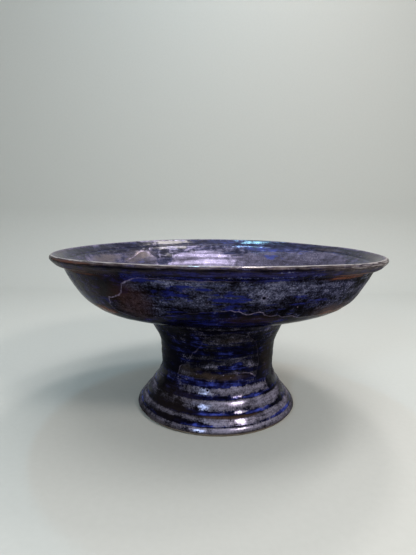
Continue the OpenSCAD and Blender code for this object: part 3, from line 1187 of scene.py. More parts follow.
@dataclass(frozen=True)
class Sizes:
    """The sizes of the whole piece, in millimetres and degrees.

    Attributes:
        rim_d: Diameter of the lip.
        bowl_h: Height of the bowl above its seat.
        floor_t: Thickness of the floor.
        wall_t: Thickness of the wall where it reaches the lip.
        seat_d: Diameter of the seat under the bowl.
        lip_t: Thickness of the lip.
        lip_a: Rise of the lip's lower face.
        lip_w: Width of that face.
        lip_in_a: Rise of the lip's upper face.
        lip_in_w: Width of that face.
        lip_edge_r: Radius of the lip's lower edge.
        ledge_w: Width of the ledge under the lip.
        ledge_a: Rise of the ledge.
        neck_r: Radius of the hollow between the ledge and the wall.
        neck_a: Angle at which the wall meets that hollow.
        pedestal_h: Height of the pedestal.
        foot_d: Diameter of the foot.
        stem_d: Diameter of the stem.
        stem_t: Thickness of the pedestal's wall, measured level.
        ridge_h: Height of a thrown ridge.
        ridge_pitch: Distance from one ridge to the next.
        ridge_from: Share of the pedestal's height from which the stem's ridges run.
        ridge_to: Share of the pedestal's height up to which they run.
        slip_t: Thickness of the slip.
        coil_h: Height of the seam coil.
        coil_w: Width of the seam coil.
        inner_coil_h: Height and width of the inner coil.
        coil_toe: Weight of each toe of a coil in the middle of its hollow face.
        glaze_t: Thickness of the glaze.
        ring_h: Height over which the foot's rings begin.
        ring_z: Heights between which they die out.
        inner_s: Distances from the lip between which the rings inside begin and end.
        inner_fade: Distances from the lip between which what they add dies out.
        floor_ridges: Height of the band of ridges above the floor.
        groove_s: Distance from the lip of the groove inside it.
        groove_w: Half the width of that groove.
        groove_d: Depth of that groove.
        steps: Points along each stretch of a curve.
        floor_steps: Points along the floor.
        tilt_steps: Points along each stretch of a curve of tilts.
    """

    rim_d: float = 240.0
    bowl_h: float = 42.2
    floor_t: float = 7.5
    wall_t: float = 3.4
    seat_d: float = 114.0
    lip_t: float = 3.0
    lip_a: float = 45.0
    lip_w: float = 4.0
    lip_in_a: float = 38.0
    lip_in_w: float = 5.0
    lip_edge_r: float = 0.9
    ledge_w: float = 3.8
    ledge_a: float = 14.0
    neck_r: float = 1.4
    neck_a: float = 150.0
    pedestal_h: float = 76.4
    foot_d: float = 121.8
    stem_d: float = 86.2
    stem_t: float = 6.5
    ridge_h: float = 0.08
    ridge_pitch: float = 6.4
    ridge_from: float = 0.36
    ridge_to: float = 0.93
    slip_t: float = 0.6
    coil_h: float = 5.0
    coil_w: float = 3.0
    inner_coil_h: float = 4.0
    coil_toe: float = 0.42
    glaze_t: float = 0.5
    ring_h: float = 1.0
    ring_z: tuple[float, float] = (24.0, 30.0)
    inner_s: tuple[float, float, float, float] = (2.0, 4.0, 27.0, 31.0)
    inner_fade: tuple[float, float] = (30.0, 55.0)
    floor_ridges: float = 10.0
    groove_s: float = 2.4
    groove_w: float = 0.8
    groove_d: float = 0.24
    steps: int = 24
    floor_steps: int = 40
    tilt_steps: int = 12

    @property
    def seat(self) -> tuple[float, float]:
        """The edge of the bowl's seat."""
        return self.seat_d / 2, self.pedestal_h + self.slip_t

    @property
    def collar_r(self) -> float:
        """Radius of the pedestal's top ring."""
        return self.seat[0] - self.coil_w

    @property
    def hollow_r(self) -> float:
        """Radius of the hollow at the pedestal's top."""
        return self.collar_r - self.stem_t

    @property
    def lip_middle(self) -> np.ndarray:
        """The middle of the lip's round edge."""
        return np.array([self.rim_d / 2, self.seat[1] + self.bowl_h]) - self.glaze_t - self.lip_t / 2

    def ridges(self, z: np.ndarray, z0: float, z1: float) -> np.ndarray:
        """How far the thrown ridges stand out at each height, between two heights."""
        t = np.clip((z - z0) / (z1 - z0), 0, 1)
        return self.ridge_h * np.sin(2 * np.pi * (z - z0) / self.ridge_pitch) * np.sin(np.pi * t)

    def pedestal(self) -> tuple[Path, Path]:
        """Draws the outside of the pedestal from the floor to the seam coil.

        Returns:
            The smooth path, and the path with its rings and ridges.
        """
        foot_r, stem_r = self.foot_d / 2 - self.glaze_t, self.stem_d / 2 - self.glaze_t
        h = self.pedestal_h
        line = curve([(stem_r + a * (foot_r - stem_r), b * h) for a, b in FOOT_SHARES]
                     + [(stem_r + a * (self.collar_r - stem_r), b * h) for a, b in STEM_SHARES]
                     + [(self.collar_r, h - self.coil_h)], self.steps)
        side = line.copy()
        side[:, 0] += self.rings(line) + self.ridges(line[:, 1], self.ridge_from * h, self.ridge_to * h)
        return line, side

    def rings(self, line: Path, samples: int = 900) -> np.ndarray:
        """Works out the foot's thrown rings from the tilt of each stretch of its glaze.

        Args:
            line: The smooth outside of the pedestal.
            samples: Number of even steps that the glaze is followed in.

        Returns:
            How far the rings stand out from each point of the line.
        """
        tilts = curve(FOOT_TILTS, self.tilt_steps)
        at = np.linspace(0, tilts[-1, 0], samples)
        a = np.radians(np.interp(at, *tilts.T))
        start = line[self.steps] + self.glaze_t * outward(line)[self.steps]
        steps = np.stack([-np.sin(a), np.cos(a)], 1) * at[1]
        skin = start + np.cumsum(steps, axis=0) - steps
        clay = skin - self.glaze_t * np.stack([np.cos(a), np.sin(a)], 1)
        z = line[:, 1]
        off = np.interp(z, clay[:, 1], clay[:, 0]) - line[:, 0]
        return off * span(z, clay[0, 1], clay[0, 1] + self.ring_h, *self.ring_z)

    def coil(self) -> Path:
        """The face of the seam coil."""
        return self.fillet((self.collar_r, self.pedestal_h - self.coil_h), (self.collar_r, self.seat[1]), self.seat)

    def inner_coil(self) -> Path:
        """The outline of the inner coil, in the top corner of the hollow."""
        corner, w = (self.hollow_r, self.seat[1]), self.inner_coil_h
        return np.vstack([self.fillet((corner[0], self.pedestal_h - w), corner, (corner[0] - w, corner[1])), [corner]])

    def fillet(self, low: Sequence[float], corner: Sequence[float], high: Sequence[float]) -> Path:
        """Draws the hollow face of a coil.

        Args:
            low: Its lower toe.
            corner: The corner that it fills.
            high: Its upper toe.

        Returns:
            The path from the lower toe to the upper one.
        """
        low, corner, high = (np.array(v, float) for v in (low, corner, high))
        toe = self.coil_toe
        return curve([low, toe * low + (1 - 2 * toe) * corner + toe * high, high], self.steps)

    def lip(self) -> tuple[np.ndarray, Path, int]:
        """Draws the lip.

        Returns:
            The neck's lower end, the lip's path from there, and the index of its crest on that path.
        """
        edge = self.lip_middle
        lower = edge + (self.lip_t / 2 - self.lip_edge_r) * below(self.lip_a) - self.lip_w * toward(self.lip_a)
        ledge = lower + self.lip_edge_r * below(self.ledge_a) - self.ledge_w * toward(self.ledge_a)
        neck_c = ledge + self.neck_r * below(self.ledge_a)
        neck = neck_c + self.neck_r * toward(self.neck_a)
        under = arc(neck_c, self.neck_r, self.neck_a, self.ledge_a + 90)[1:]
        low = arc(lower, self.lip_edge_r, self.ledge_a - 90, self.lip_a - 90)
        top = arc(edge, self.lip_t / 2, self.lip_a - 90, self.lip_in_a + 90)
        return neck, np.vstack([under, low, top]), len(under) + len(low) + int(np.argmax(top[:, 1]))

    def wall(self) -> tuple[list[np.ndarray], Path]:
        """Draws the outside of the bowl's wall.

        Returns:
            The points that it passes through, and its path.
        """
        neck, seat = self.lip()[0], np.array(self.seat)
        points = [seat] + [seat + np.array(s) * (neck - seat) for s in WALL_SHARES] + [neck]
        return points, curve(points, self.steps)

    def inside(self) -> tuple[Path, Path]:
        """Draws the inside of the bowl, from the lip to the axis.

        Returns:
            The smooth path, and the path with its rings and ridges.
        """
        points, wall = self.wall()
        bend = self.lip_middle - self.lip_t / 2 * below(self.lip_in_a) - self.lip_in_w * toward(self.lip_in_a)
        normal = outward(wall)
        floor_z = self.seat[1] + self.floor_t
        count = len(points) - 1
        inner = [bend]
        for i in range(count - 1, 0, -1):
            t = self.floor_t + (self.wall_t - self.floor_t) * i / count
            inner.append(wall[i * self.steps] - t * normal[i * self.steps])
        line = curve(inner + [np.array([self.seat[0] / 2, floor_z])], self.steps)
        line = np.vstack([line, [(r, floor_z) for r in np.linspace(line[-1, 0], 0, self.floor_steps)[1:]]])
        z = line[:, 1]
        low, high = floor_z + self.floor_t / 2, floor_z + self.floor_t / 2 + self.floor_ridges
        rings = self.rings_inside(line) + np.where((z > low) & (z < high), 2 * self.ridges(z, low, high), 0.0)
        return line, line + rings[:, None] * outward(line)

    def rings_inside(self, line: Path) -> np.ndarray:
        """Works out the groove and the rings inside the bowl from the tilt of each stretch.

        Args:
            line: The smooth inside of the bowl, from the lip.

        Returns:
            How far they stand out from each point of the line.
        """
        s = lengths(line)
        way = np.gradient(line, axis=0)
        tilt = np.degrees(np.arctan2(-way[:, 0], -way[:, 1]))
        turn = np.radians(np.interp(s, *curve(INNER_TILTS, self.tilt_steps).T) - tilt) * span(s, *self.inner_s)
        rise = np.concatenate([[0.0], np.cumsum((turn[1:] + turn[:-1]) / 2 * np.diff(s))])
        return rise * (1 - ramp(s, *self.inner_fade)) - self.groove_d * bump(s, self.groove_s, self.groove_w)

    def glazed(self) -> tuple[Path, Path, dict[Landmark, int]]:
        """Joins everything that glaze can cover into one path.

        Returns:
            The path, its normals, and where its landmarks lie on it.
        """
        pedestal, ringed = self.pedestal()
        coil, wall = self.coil(), self.wall()[1]
        _, lip, crest = self.lip()
        inside, turned = self.inside()
        smooth = np.vstack([pedestal, coil[1:], wall[1:], lip, inside])
        path = np.vstack([ringed, coil[1:], wall[1:], lip, turned])
        joint = len(pedestal) + len(coil) - 2
        return path, outward(smooth), {Landmark.BARE: self.steps, Landmark.JOINT: joint,
                                       Landmark.CREST: joint + len(wall) + crest, Landmark.MIDDLE: len(path) - 1}


@dataclass
class Assembly:
    """A group of pieces of one footed bowl.

    Attributes:
        sizes: The sizes of the whole piece.
        hand: How the fired piece departs from a turned form.
        columns: Columns round the axis of a piece that glaze hides.
    """

    sizes: Sizes
    hand: Handmade
    columns: int = 240

    def turned(self, name: str, *outline: Any) -> bpy.types.Object:
        """Turns a piece from the stretches of its outline."""
        return Turned(name, thinned(np.vstack(outline)), self.columns, self.hand).piece()


@dataclass
class ThrownClay(Assembly):
    """The two thrown forms: the bowl and its pedestal."""

    def bowl(self) -> bpy.types.Object:
        """The bowl, with its seat, its wall, its lip and its inside."""
        s = self.sizes
        return self.turned("bowl_clay", [(0.0, s.seat[1])], s.wall()[1], s.lip()[1], s.inside()[1])

    def pedestal(self) -> bpy.types.Object:
        """Builds the pedestal, open below.

        Returns:
            Its object.
        """
        s = self.sizes
        line, side = s.pedestal()
        hollow = line.copy()
        foot = slice(0, 3 * s.steps)
        hollow[foot, 0] = np.minimum(hollow[foot, 0], line[0, 0])
        hollow[:, 0] -= s.stem_t
        return self.turned("pedestal_clay", side, [(s.collar_r, s.pedestal_h), (s.hollow_r, s.pedestal_h)],
                           hollow[::-1])

    def build(self, clay: bpy.types.Material) -> None:
        """Builds and dresses both forms."""
        dress(self.bowl(), clay, "bowl", "stoneware")
        dress(self.pedestal(), clay, "pedestal", "stoneware")


@dataclass
class Joint(Assembly):
    """What joins the two forms: the bed of slip and the two coils."""

    def slip_bed(self) -> bpy.types.Object:
        """The bed of slip on the pedestal's top ring."""
        s, top = self.sizes, self.sizes.seat[1]
        return self.turned("slip_bed", [(s.hollow_r, s.pedestal_h), (s.collar_r, s.pedestal_h), (s.collar_r, top),
                                        (s.hollow_r, top)])

    def seam_coil(self) -> bpy.types.Object:
        """The coil in the corner outside the joint."""
        s = self.sizes
        return self.turned("seam_coil_clay", s.coil(), [(s.collar_r, s.seat[1]), (s.collar_r, s.pedestal_h)])

    def inner_coil(self) -> bpy.types.Object:
        """The coil in the top corner of the hollow."""
        return self.turned("inner_coil_clay", self.sizes.inner_coil()[::-1])

    def build(self, clay: bpy.types.Material, slip: bpy.types.Material) -> None:
        """Builds and dresses the slip and the coils.

        Args:
            clay: Finish of the coils.
            slip: Finish of the slip.
        """
        dress(self.slip_bed(), slip, "joint_slip", "slip")
        dress(self.seam_coil(), clay, "seam_coil", "stoneware")
        dress(self.inner_coil(), clay, "inner_coil", "stoneware")


@dataclass(frozen=True)
class Pour:
    """How one coat is poured.

    Attributes:
        name: Name of the piece.
        node: The solid that it stands for.
        start: Where it starts.
        end: Where it ends.
        columns: Columns round the axis.
        coarse: Longest step between rows of the skin.
        seed: First seed of its unevenness.
        layout: What lies where on it.
        glaze: Its finish, which has the name of its slot.
    """

    name: str
    node: str
    start: Landmark
    end: Landmark
    columns: int
    coarse: float
    seed: int
    layout: Layout
    glaze: Glaze


@dataclass
class Glazing(Assembly):
    """The three coats of glaze."""

    def coat(self, pour: Pour) -> bpy.types.Object:
        """Builds one coat.

        Args:
            pour: How it is poured.

        Returns:
            Its object.
        """
        path, normals, places = self.sizes.glazed()
        part = slice(places[pour.start], places[pour.end] + 1)
        return Coat(pour.name, path[part], normals[part], self.sizes.glaze_t, pour.columns, pour.coarse, pour.layout,
                    pour.seed).piece(self.hand)

    def build(self, pours: Sequence[Pour]) -> None:
        """Builds and dresses the coats."""
        for pour in pours:
            dress(self.coat(pour), pour.glaze.material(), pour.node, pour.glaze.name)


# The outside of the bowl, from the joint up to the crest of the lip
OUTER_LAYOUT = Layout(
    runs=(
        ((-38, 49), (-37, 52), (-36.5, 55), (-33.5, 55.6), (-32.4, 57), (-31, 57.6), (-29.6, 59.5), (-28.8, 62),
         (-28, 65), (-26.5, 67), (-24, 68.6), (-21, 70.6), (-14, 70.2), (-8, 69.4), (0, 69.5), (12, 69.6), (24, 70.5),
         (40, 70.2), (62, 69), (74, 66), (84, 60), (88, 50), (80, 40), (60, 36), (46, 38), (38, 40), (33, 40.2),
         (30, 41), (27, 41.4), (25.3, 43.6), (24, 43.8), (21, 43.6), (19.4, 45.2), (18.4, 46.4), (17, 45),
         (15.6, 45.6), (14.4, 46.4), (13.8, 48.4), (12, 49), (10, 48), (8.2, 47.2), (7.4, 48.4), (6.2, 49.8),
         (5, 50.2), (0, 50), (-8, 48), (-16, 44), (-22, 42), (-30, 40), (-36, 44)),
        ((128, 30), (124, 44), (130, 58), (141, 66), (158, 70), (176, 68), (190, 62), (200, 50), (204, 36), (192, 26),
         (170, 20), (150, 22)),
        ((232, 40), (228, 52), (234, 62), (246, 68), (262, 70), (274, 64), (280, 52), (272, 42), (256, 34),
         (242, 34)),
    ),
    tones={
        Tone.BLUE: (
            Daub(-8, 63, 7, 4.5, 0.9), Daub(-17, 59, 5, 4, 0.7), Daub(3, 58, 9, 4.5, 0.9), Daub(5, 51, 5, 2.5, 0.8),
            Daub(-10, 46, 9, 4, 0.7), Daub(-5, 40, 4, 6, 0.7), Daub(-1, 78.3, 25, 1.9, 0.9),
            Daub(-42, 78, 14, 1.6, 0.3), Daub(38, 78, 24, 1.8, 0.6), Daub(-23, 72, 5, 6, 0.8),
            Daub(-5, 73, 8, 4, 0.7), Daub(52, 64, 8, 6, 0.5), Daub(110, 55, 16, 8, 0.8), Daub(215, 60, 12, 10, 0.9),
            Daub(160, 45, 16, 6, 0.7), Daub(180, 79, 60, 2.4, 0.7), Daub(90, 79, 20, 2.4, 0.6),
            Daub(27, 52, 11, 7, 0.4)),
        Tone.PALE: (
            Daub(15, 62, 6, 6.5, 1.0), Daub(24, 63, 9, 5, 0.6), Daub(42, 62, 12, 9, 0.7), Daub(57, 57, 10, 8, 1.0),
            Daub(46, 46, 16, 7, 0.8), Daub(20, 77.5, 60, 2.5, 0.4), Daub(-46, 62, 7, 5, 0.5),
            Daub(-58, 62, 14, 9, 0.7), Daub(-8, 67, 12, 2.6, 0.5), Daub(-10, 55, 7, 2.5, 0.5),
            Daub(180, 52, 14, 8, 0.7), Daub(250, 55, 12, 7, 0.7), Daub(130, 60, 12, 6, 0.5)),
        Tone.DARK: (
            # The daub at path 12 darkens the whole underside of the bowl: painted shade
            Daub(-34, 62, 5, 11, 0.8), Daub(23, 50, 11, 6, 0.3), Daub(-15, 64, 4, 3, 0.5), Daub(0, 12, 180, 26, 0.5),
            Daub(-8, 46, 8, 3.5, 0.5), Daub(-30, 78, 8, 4, 0.8), Daub(100, 40, 20, 10, 0.6),
            Daub(220, 40, 14, 10, 0.6), Daub(0, 80.2, ROUND, 0.6, 0.6), Daub(50, 64, 7, 4, 0.6)),
        Tone.RUST: (
            # The daubs at paths 40.5 to 44, low on the wall, are a painted warm reflection from below
            Daub(-28, 52, 9, 16, 0.75), Daub(-47, 60, 12, 10, 0.3), Daub(41, 69.3, 12, 1.7, 1.15),
            Daub(41, 75.3, 12, 0.9, 1.15), Daub(-46, 75.3, 14, 0.8, 0.9), Daub(50, 40.5, 15, 4.5, 1.3),
            Daub(-48, 42, 13, 5, 1.2), Daub(-46, 69.3, 14, 1.4, 0.9), Daub(-34, 73, 7, 6, 0.4),
            Daub(44, 44, 14, 7, 0.85), Daub(-44, 44, 8, 6, 0.4), Daub(150, 62, 14, 7, 0.6), Daub(262, 46, 12, 7, 0.5),
            Daub(12, 42, 12, 4, 0.4), Daub(-46, 81.0, 18, 0.8, 1.1), Daub(-44, 77.2, 14, 1.8, 0.45)),
        Tone.CLEAR: (
            # The daub at path 12 thins the lustre round the underside of the bowl: painted shade
            Daub(0, 77.8, ROUND, 2.4, 0.3), Daub(0, 12, ROUND, 28, 0.4), Daub(-34, 64, 8, 12, 0.8)),
        # Thin glaze over the lip, with a painted highlight along its crest and painted streaks of sheen on its face
        Tone.WORN: (
            Daub(-50, 78, 30, 2.6, 0.28), Daub(0, 78, 40, 2.4, 0.16), Daub(52, 78, 30, 2.6, 0.34),
            Daub(0, 82.6, ROUND, 1.0, 1.3), Daub(0, 82.2, ROUND, 1.6, 0.7), Daub(-70, 82, 16, 2.4, 0.7),
            Daub(50, 81.2, 26, 2.8, 0.85), Daub(120, 82, 40, 2.0, 0.7), Daub(230, 82, 40, 2.0, 0.7)),
        Tone.DRY: (
            Daub(0, 77.3, ROUND, 2.6, 0.25), Daub(60, 77.3, 22, 2.6, 0.5)),
        Tone.SEAM: (
            Daub(-34, 56, 6, 9, 0.75), Daub(-27, 66, 6, 6, 0.75), Daub(-12, 70, 16, 3, 0.35),
            Daub(12, 48, 11, 5, 1.0), Daub(25, 43, 5, 4, 0.7), Daub(140, 62, 14, 9, 0.9), Daub(196, 50, 12, 12, 0.8),
            Daub(236, 58, 12, 12, 0.9)),
    },
    pits=(Pit(13, 58.8, 1.2), Pit(-9, 63.4, 0.6), Pit(-3, 55.4, 0.6), Pit(-15, 46.5, 0.5), Pit(27, 66, 0.5),
          Pit(39, 64, 0.5), Pit(148, 55, 1.0), Pit(172, 60, 0.8), Pit(244, 60, 0.9), Pit(112, 50, 0.8)),
    # Painted glints: small pale flecks
    sparks=(Pit(32, 57.5, 0.6), Pit(33, 55.8, 0.45), Pit(25, 51.2, 0.6), Pit(22, 62.5, 0.5), Pit(32, 69, 0.5),
            Pit(42, 67, 0.5), Pit(37, 52, 0.4), Pit(6, 51.2, 0.45), Pit(16, 65, 0.4), Pit(40, 58, 0.4),
            Pit(140, 52, 0.5), Pit(166, 48, 0.6), Pit(188, 58, 0.5), Pit(250, 50, 0.6), Pit(266, 60, 0.5)),
)

# The pedestal, from the bare standing ring up to the joint
PEDESTAL_LAYOUT = Layout(
    runs=(
        ((-40, 35.8), (-38.5, 39.4), (-37, 42.6), (-33, 44.4), (-30, 45.4), (-27, 47), (-25, 50.4), (-22, 54.5),
         (-19, 56), (-16, 59.6), (-13, 62.6), (-12, 65.6), (-8, 69.6), (0, 72.7), (12, 73.7), (24, 70.6), (34, 63.6),
         (40, 55.5), (42, 47.4), (41, 40.4), (38.5, 35.3), (36.8, 37.1), (34, 38.4), (30, 39.4), (20, 40.8),
         (8, 40.2), (0, 36.9), (-10, 35.5), (-24, 35.3), (-33, 35.3)),
        ((70, 29.1), (74, 47.4), (84, 61.6), (100, 65.6), (118, 57.6), (124, 41.4), (116, 30.1), (96, 26.1)),
        ((150, 33.2), (154, 49.4), (166, 61.6), (186, 69.6), (206, 63.6), (216, 47.4), (210, 35.3), (190, 30.1),
         (168, 29.1)),
        ((244, 29.1), (246, 45.4), (256, 55.5), (272, 59.6), (284, 49.4), (286, 37.4), (274, 30.1), (258, 27.1)),
    ),
    tones={
        Tone.BLUE: (
            Daub(-15, 32.7, 18, 2.2, 0.8), Daub(12, 31.7, 14, 2, 0.9), Daub(17, 44.8, 15, 2.6, 1.3),
            Daub(-16, 63.6, 5, 9, 0.9), Daub(10, 57.6, 14, 3, 0.6), Daub(-10, 12.6, 5, 1.6, 1.0),
            Daub(-10, 5, 6, 1.8, 1.0), Daub(19, 45.2, 14, 2.2, 1.1), Daub(32, 12.4, 14, 1.6, 1.0),
            Daub(56, 4.9, 16, 2.4, 1.0), Daub(33, 22.7, 10, 1.6, 0.9), Daub(-12, 1.6, 12, 2, 0.8),
            Daub(20, 55.5, 12, 4, 0.5), Daub(160, 13.4, 25, 2, 0.8), Daub(240, 23.1, 20, 2, 0.8),
            Daub(280, 5.4, 20, 2, 0.8), Daub(130, 33.2, 20, 2.4, 0.8), Daub(220, 57.6, 10, 8, 0.6)),
        Tone.PALE: (
            Daub(44, 16.4, 22, 4.5, 1.0), Daub(46, 27.1, 18, 4.5, 0.7), Daub(48, 6.4, 20, 4.5, 0.7),
            Daub(-4, 46, 14, 4, 0.5), Daub(20, 47, 16, 5, 0.45), Daub(18, 27.6, 26, 3.8, 1.1),
            Daub(18, 13.3, 8, 1.3, 1.3), Daub(-20, 28, 14, 2.6, 0.6), Daub(16, 19.7, 36, 3.2, 0.75),
            Daub(10, 16.4, 30, 2.4, 0.6), Daub(58, 17.3, 12, 3, 0.8), Daub(18, 6.2, 30, 2.6, 0.9),
            Daub(-38, 8.9, 22, 1.8, 0.35), Daub(-9, 26.0, 8, 1.3, 1.1), Daub(10, 2.4, 30, 1.8, 0.9),
            Daub(-34, 2.4, 12, 1.6, 0.3), Daub(45, 43.9, 8, 2, 0.6), Daub(-30, 50.4, 8, 3, 0.5),
            Daub(20, 50.4, 12, 3, 0.4), Daub(120, 19.2, 40, 3, 0.7), Daub(200, 19.2, 40, 3, 0.7),
            Daub(200, 8.4, 60, 2.2, 0.7), Daub(280, 19.2, 30, 3, 0.7), Daub(290, 8.4, 30, 2.2, 0.7),
            Daub(110, 8.4, 40, 2.2, 0.6)),
        Tone.DARK: (
            # The daubs at paths 69 and 78.7 are painted shade at the top of the stem and on the seam coil, under the
            # bowl
            Daub(10, 69, 34, 8, 0.4), Daub(-36, 66, 10, 4, 0.4), Daub(0, 51.4, ROUND, 17, 0.42),
            Daub(-42, 18.5, 22, 4, 0.5), Daub(-44, 2.2, 24, 2, 0.5), Daub(-44, 9, 22, 1.8, 0.3),
            Daub(0, 78.7, ROUND, 4, 0.8), Daub(-50, 49.4, 17, 20, 1.0), Daub(-38, 13.4, 25, 2.4, 1.0),
            Daub(-33, 5.6, 19, 2.2, 1.0), Daub(46, 41.4, 12, 9, 0.8), Daub(-50, 25.1, 18, 6, 0.9),
            Daub(60, 28.1, 8, 4, 1.0), Daub(56, 21.7, 12, 1.3, 0.9), Daub(58, 12.4, 14, 1.3, 0.9),
            Daub(-12, 22.5, 30, 1.3, 0.4), Daub(8, 10.4, 30, 1.0, 0.6), Daub(5, 3.9, 16, 0.6, 0.6),
            Daub(-30, 73.7, 20, 8, 0.7), Daub(140, 49.4, 14, 14, 0.8), Daub(230, 45.4, 10, 14, 0.8),
            Daub(180, 13.4, 90, 1.8, 0.6)),
        Tone.RUST: (
            Daub(0, 37.9, 36, 2.9, 0.8), Daub(12, 66.6, 12, 2.5, 0.45), Daub(-27, 41.4, 12, 4, 0.6),
            Daub(11, 10.4, 31, 1.5, 0.95), Daub(100, 39.4, 16, 6, 0.5), Daub(185, 43.4, 20, 5, 0.5),
            Daub(55, 49.4, 10, 16, 0.45), Daub(0, 0, ROUND, 1.0, 0.7), Daub(-38, 17, 24, 14, 0.3),
            Daub(-50, 1.2, 26, 1.2, 0.6)),
        Tone.DRY: (
            Daub(0, 52, ROUND, 24, 0.4),),
        Tone.CLEAR: (
            Daub(0, 51.4, ROUND, 17, 0.42), Daub(-32, 12.9, 34, 1.5, 0.8), Daub(-25, 5.4, 22, 2, 0.7),
            Daub(-14, 22.7, 30, 1.2, 0.7), Daub(0, 31.7, 34, 2, 0.5), Daub(-50, 25.1, 18, 6, 0.7),
            Daub(180, 12.9, 110, 1.6, 0.8), Daub(180, 23.1, 120, 1.4, 0.7)),
        Tone.SEAM: (
            Daub(-37, 40.4, 5, 6, 0.3), Daub(-22, 53.5, 8, 7, 0.25), Daub(24, 40.4, 16, 4, 0.3),
            Daub(37, 37.4, 4, 4, 0.9), Daub(78, 53.5, 12, 12, 0.7), Daub(160, 55.5, 14, 12, 0.8),
            Daub(208, 59.6, 12, 12, 0.7), Daub(262, 57.6, 20, 8, 0.7)),
    },
    pits=(Pit(-8, 28.1, 0.8), Pit(160, 39.4, 0.8), Pit(252, 43.4, 0.9)),
    # Painted glints: small pale flecks
    sparks=(Pit(6, 39.2, 0.6), Pit(-19, 39, 0.5), Pit(-4, 37.4, 0.4), Pit(13, 37.4, 0.4), Pit(170, 49.4, 0.5)),
)

# The inside of the bowl, from the crest of the lip down to the middle of the floor, whose far side is at 180
INNER_LAYOUT = Layout(
    runs=(
        ((216, 30), (217, 22), (219, 16.5), (222, 13.4), (225, 15), (228, 18), (231, 20), (235, 22), (240, 25),
         (244, 34), (238, 44), (226, 46), (218, 40)),
        ((100, 14), (112, 11), (130, 12), (150, 16), (168, 20), (186, 16), (204, 20), (210, 34), (200, 50), (176, 58),
         (150, 54), (124, 46), (104, 34)),
        ((290, 20), (312, 14), (340, 18), (362, 16), (384, 20), (400, 30), (392, 48), (366, 56), (336, 52),
         (304, 40)),
    ),
    tones={
        Tone.BLUE: (
            Daub(164, 4.5, 46, 4.5, 1.1), Daub(154, 13, 14, 3.4, 1.0), Daub(150, 22, 12, 3.4, 0.9),
            Daub(142, 12, 16, 8, 0.6), Daub(225, 24, 4, 3, 0.7), Daub(226, 6, 6, 6, 0.5), Daub(30, 8, 40, 4, 0.8),
            Daub(300, 30, 20, 8, 0.7)),
        Tone.PALE: (
            Daub(122, 18, 18, 8, 0.35), Daub(180, 24, 26, 8, 0.5), Daub(246, 17, 10, 4, 0.7),
            Daub(224, 18, 6, 5, 1.0), Daub(258, 16, 6, 4, 0.8), Daub(232, 23, 5, 3, 0.8), Daub(20, 30, 30, 8, 0.5),
            Daub(0, 0, ROUND, 1.6, 0.8)),
        Tone.DARK: (
            Daub(0, 8.4, ROUND, 0.9, 0.7), Daub(86, 8.2, 30, 1.0, 0.8), Daub(0, 4.6, ROUND, 3.6, 0.75),
            Daub(150, 3, 50, 3.5, 0.4), Daub(234, 9, 24, 5, 0.8), Daub(211, 19, 5, 9, 0.6),
            Daub(116, 6, 12, 2.5, 0.5), Daub(60, 60, 40, 20, 0.3)),
        Tone.RUST: (
            Daub(224, 18, 4.5, 5, 0.9), Daub(231, 22, 5, 3, 0.7), Daub(248, 17, 10, 4.5, 0.7),
            Daub(118, 6, 10, 2, 0.3), Daub(190, 60, 30, 20, 0.25)),
        Tone.CLEAR: (
            Daub(168, 5, 36, 3, 0.4), Daub(171, 20.5, 8, 3.4, 1.0)),
        Tone.WORN: (
            # Thin glaze over edges; the round daub at the crest is also a painted highlight
            Daub(0, -0.3, ROUND, 0.9, 1.2), Daub(84, 2, 12, 4, 0.6), Daub(279, 1.5, 12, 3.5, 0.5),
            Daub(226, 19, 11, 8, 0.5), Daub(247, 17, 12, 5, 0.45)),
        Tone.SEAM: (
            Daub(226, 20, 12, 9, 0.9), Daub(330, 18, 30, 6, 0.6)),
    },
)

POURS = (
    Pour("pedestal_coat", "pedestal_glaze", Landmark.BARE, Landmark.JOINT, 500, 0.75, 300, PEDESTAL_LAYOUT, FOOT_GLAZE),
    Pour("outer_coat", "outer_glaze", Landmark.JOINT, Landmark.CREST, 580, 0.85, 100, OUTER_LAYOUT, SHADED_WALL_GLAZE),
    Pour("inner_coat", "inner_glaze", Landmark.CREST, Landmark.MIDDLE, 520, 1.1, 200, INNER_LAYOUT, INNER_GLAZE),
)


# The studio

@dataclass(frozen=True)
class Paper:
    """The matt paper of the floor and backdrop.

    Attributes:
        name: Name of the material.
        tones: Its darkest and its palest colour.
        rough: Its roughness.
    """

    name: str = "floor_paper"
    tones: tuple[Colour, Colour] = ((0.50, 0.505, 0.485), (0.54, 0.545, 0.525))
    rough: float = 0.9

    def material(self) -> bpy.types.Material:
        """Builds the paper's material.

        Returns:
            The material.
        """
        sh = Shader(bpy.data.materials.new(self.name))
        tooth = sh.noise(sh.place(), size=4.0)
        return sh.finish(sh.plain({"Base Color": tooth.ramp((0.0, 1.0), self.tones), "Roughness": self.rough}))


@dataclass(frozen=True)
class Lamp:
    """A soft lamp that faces the bowl.

    Attributes:
        name: Its name.
        bearing: Where it stands.
        height: Its angle above level, in degrees.
        size: Its width and height in metres.
        power: Its power in watts.
        colour: Its colour.
        away: Its distance in metres.
        aim: The point that it faces, in metres.
    """

    name: str
    bearing: float
    height: float
    size: tuple[float, float]
    power: float
    colour: Colour
    away: float = 1.0
    aim: tuple[float, float, float] = (0.0, 0.0, 0.07)

    def hang(self) -> bpy.types.Object:
        """Adds the lamp.

        Returns:
            Its object.
        """
        data = bpy.data.lights.new(self.name, "AREA")
        data.shape, data.size, data.size_y = "RECTANGLE", *self.size
        data.energy, data.color = self.power, self.colour
        made = placed(self.name, data)
        b, e = math.radians(self.bearing), math.radians(self.height)
        way = Vector((math.sin(b) * math.cos(e), -math.cos(b) * math.cos(e), math.sin(e)))
        made.location = Vector(self.aim) + way * self.away
        made.rotation_euler = way.to_track_quat("Z", "Y").to_euler()
        return made


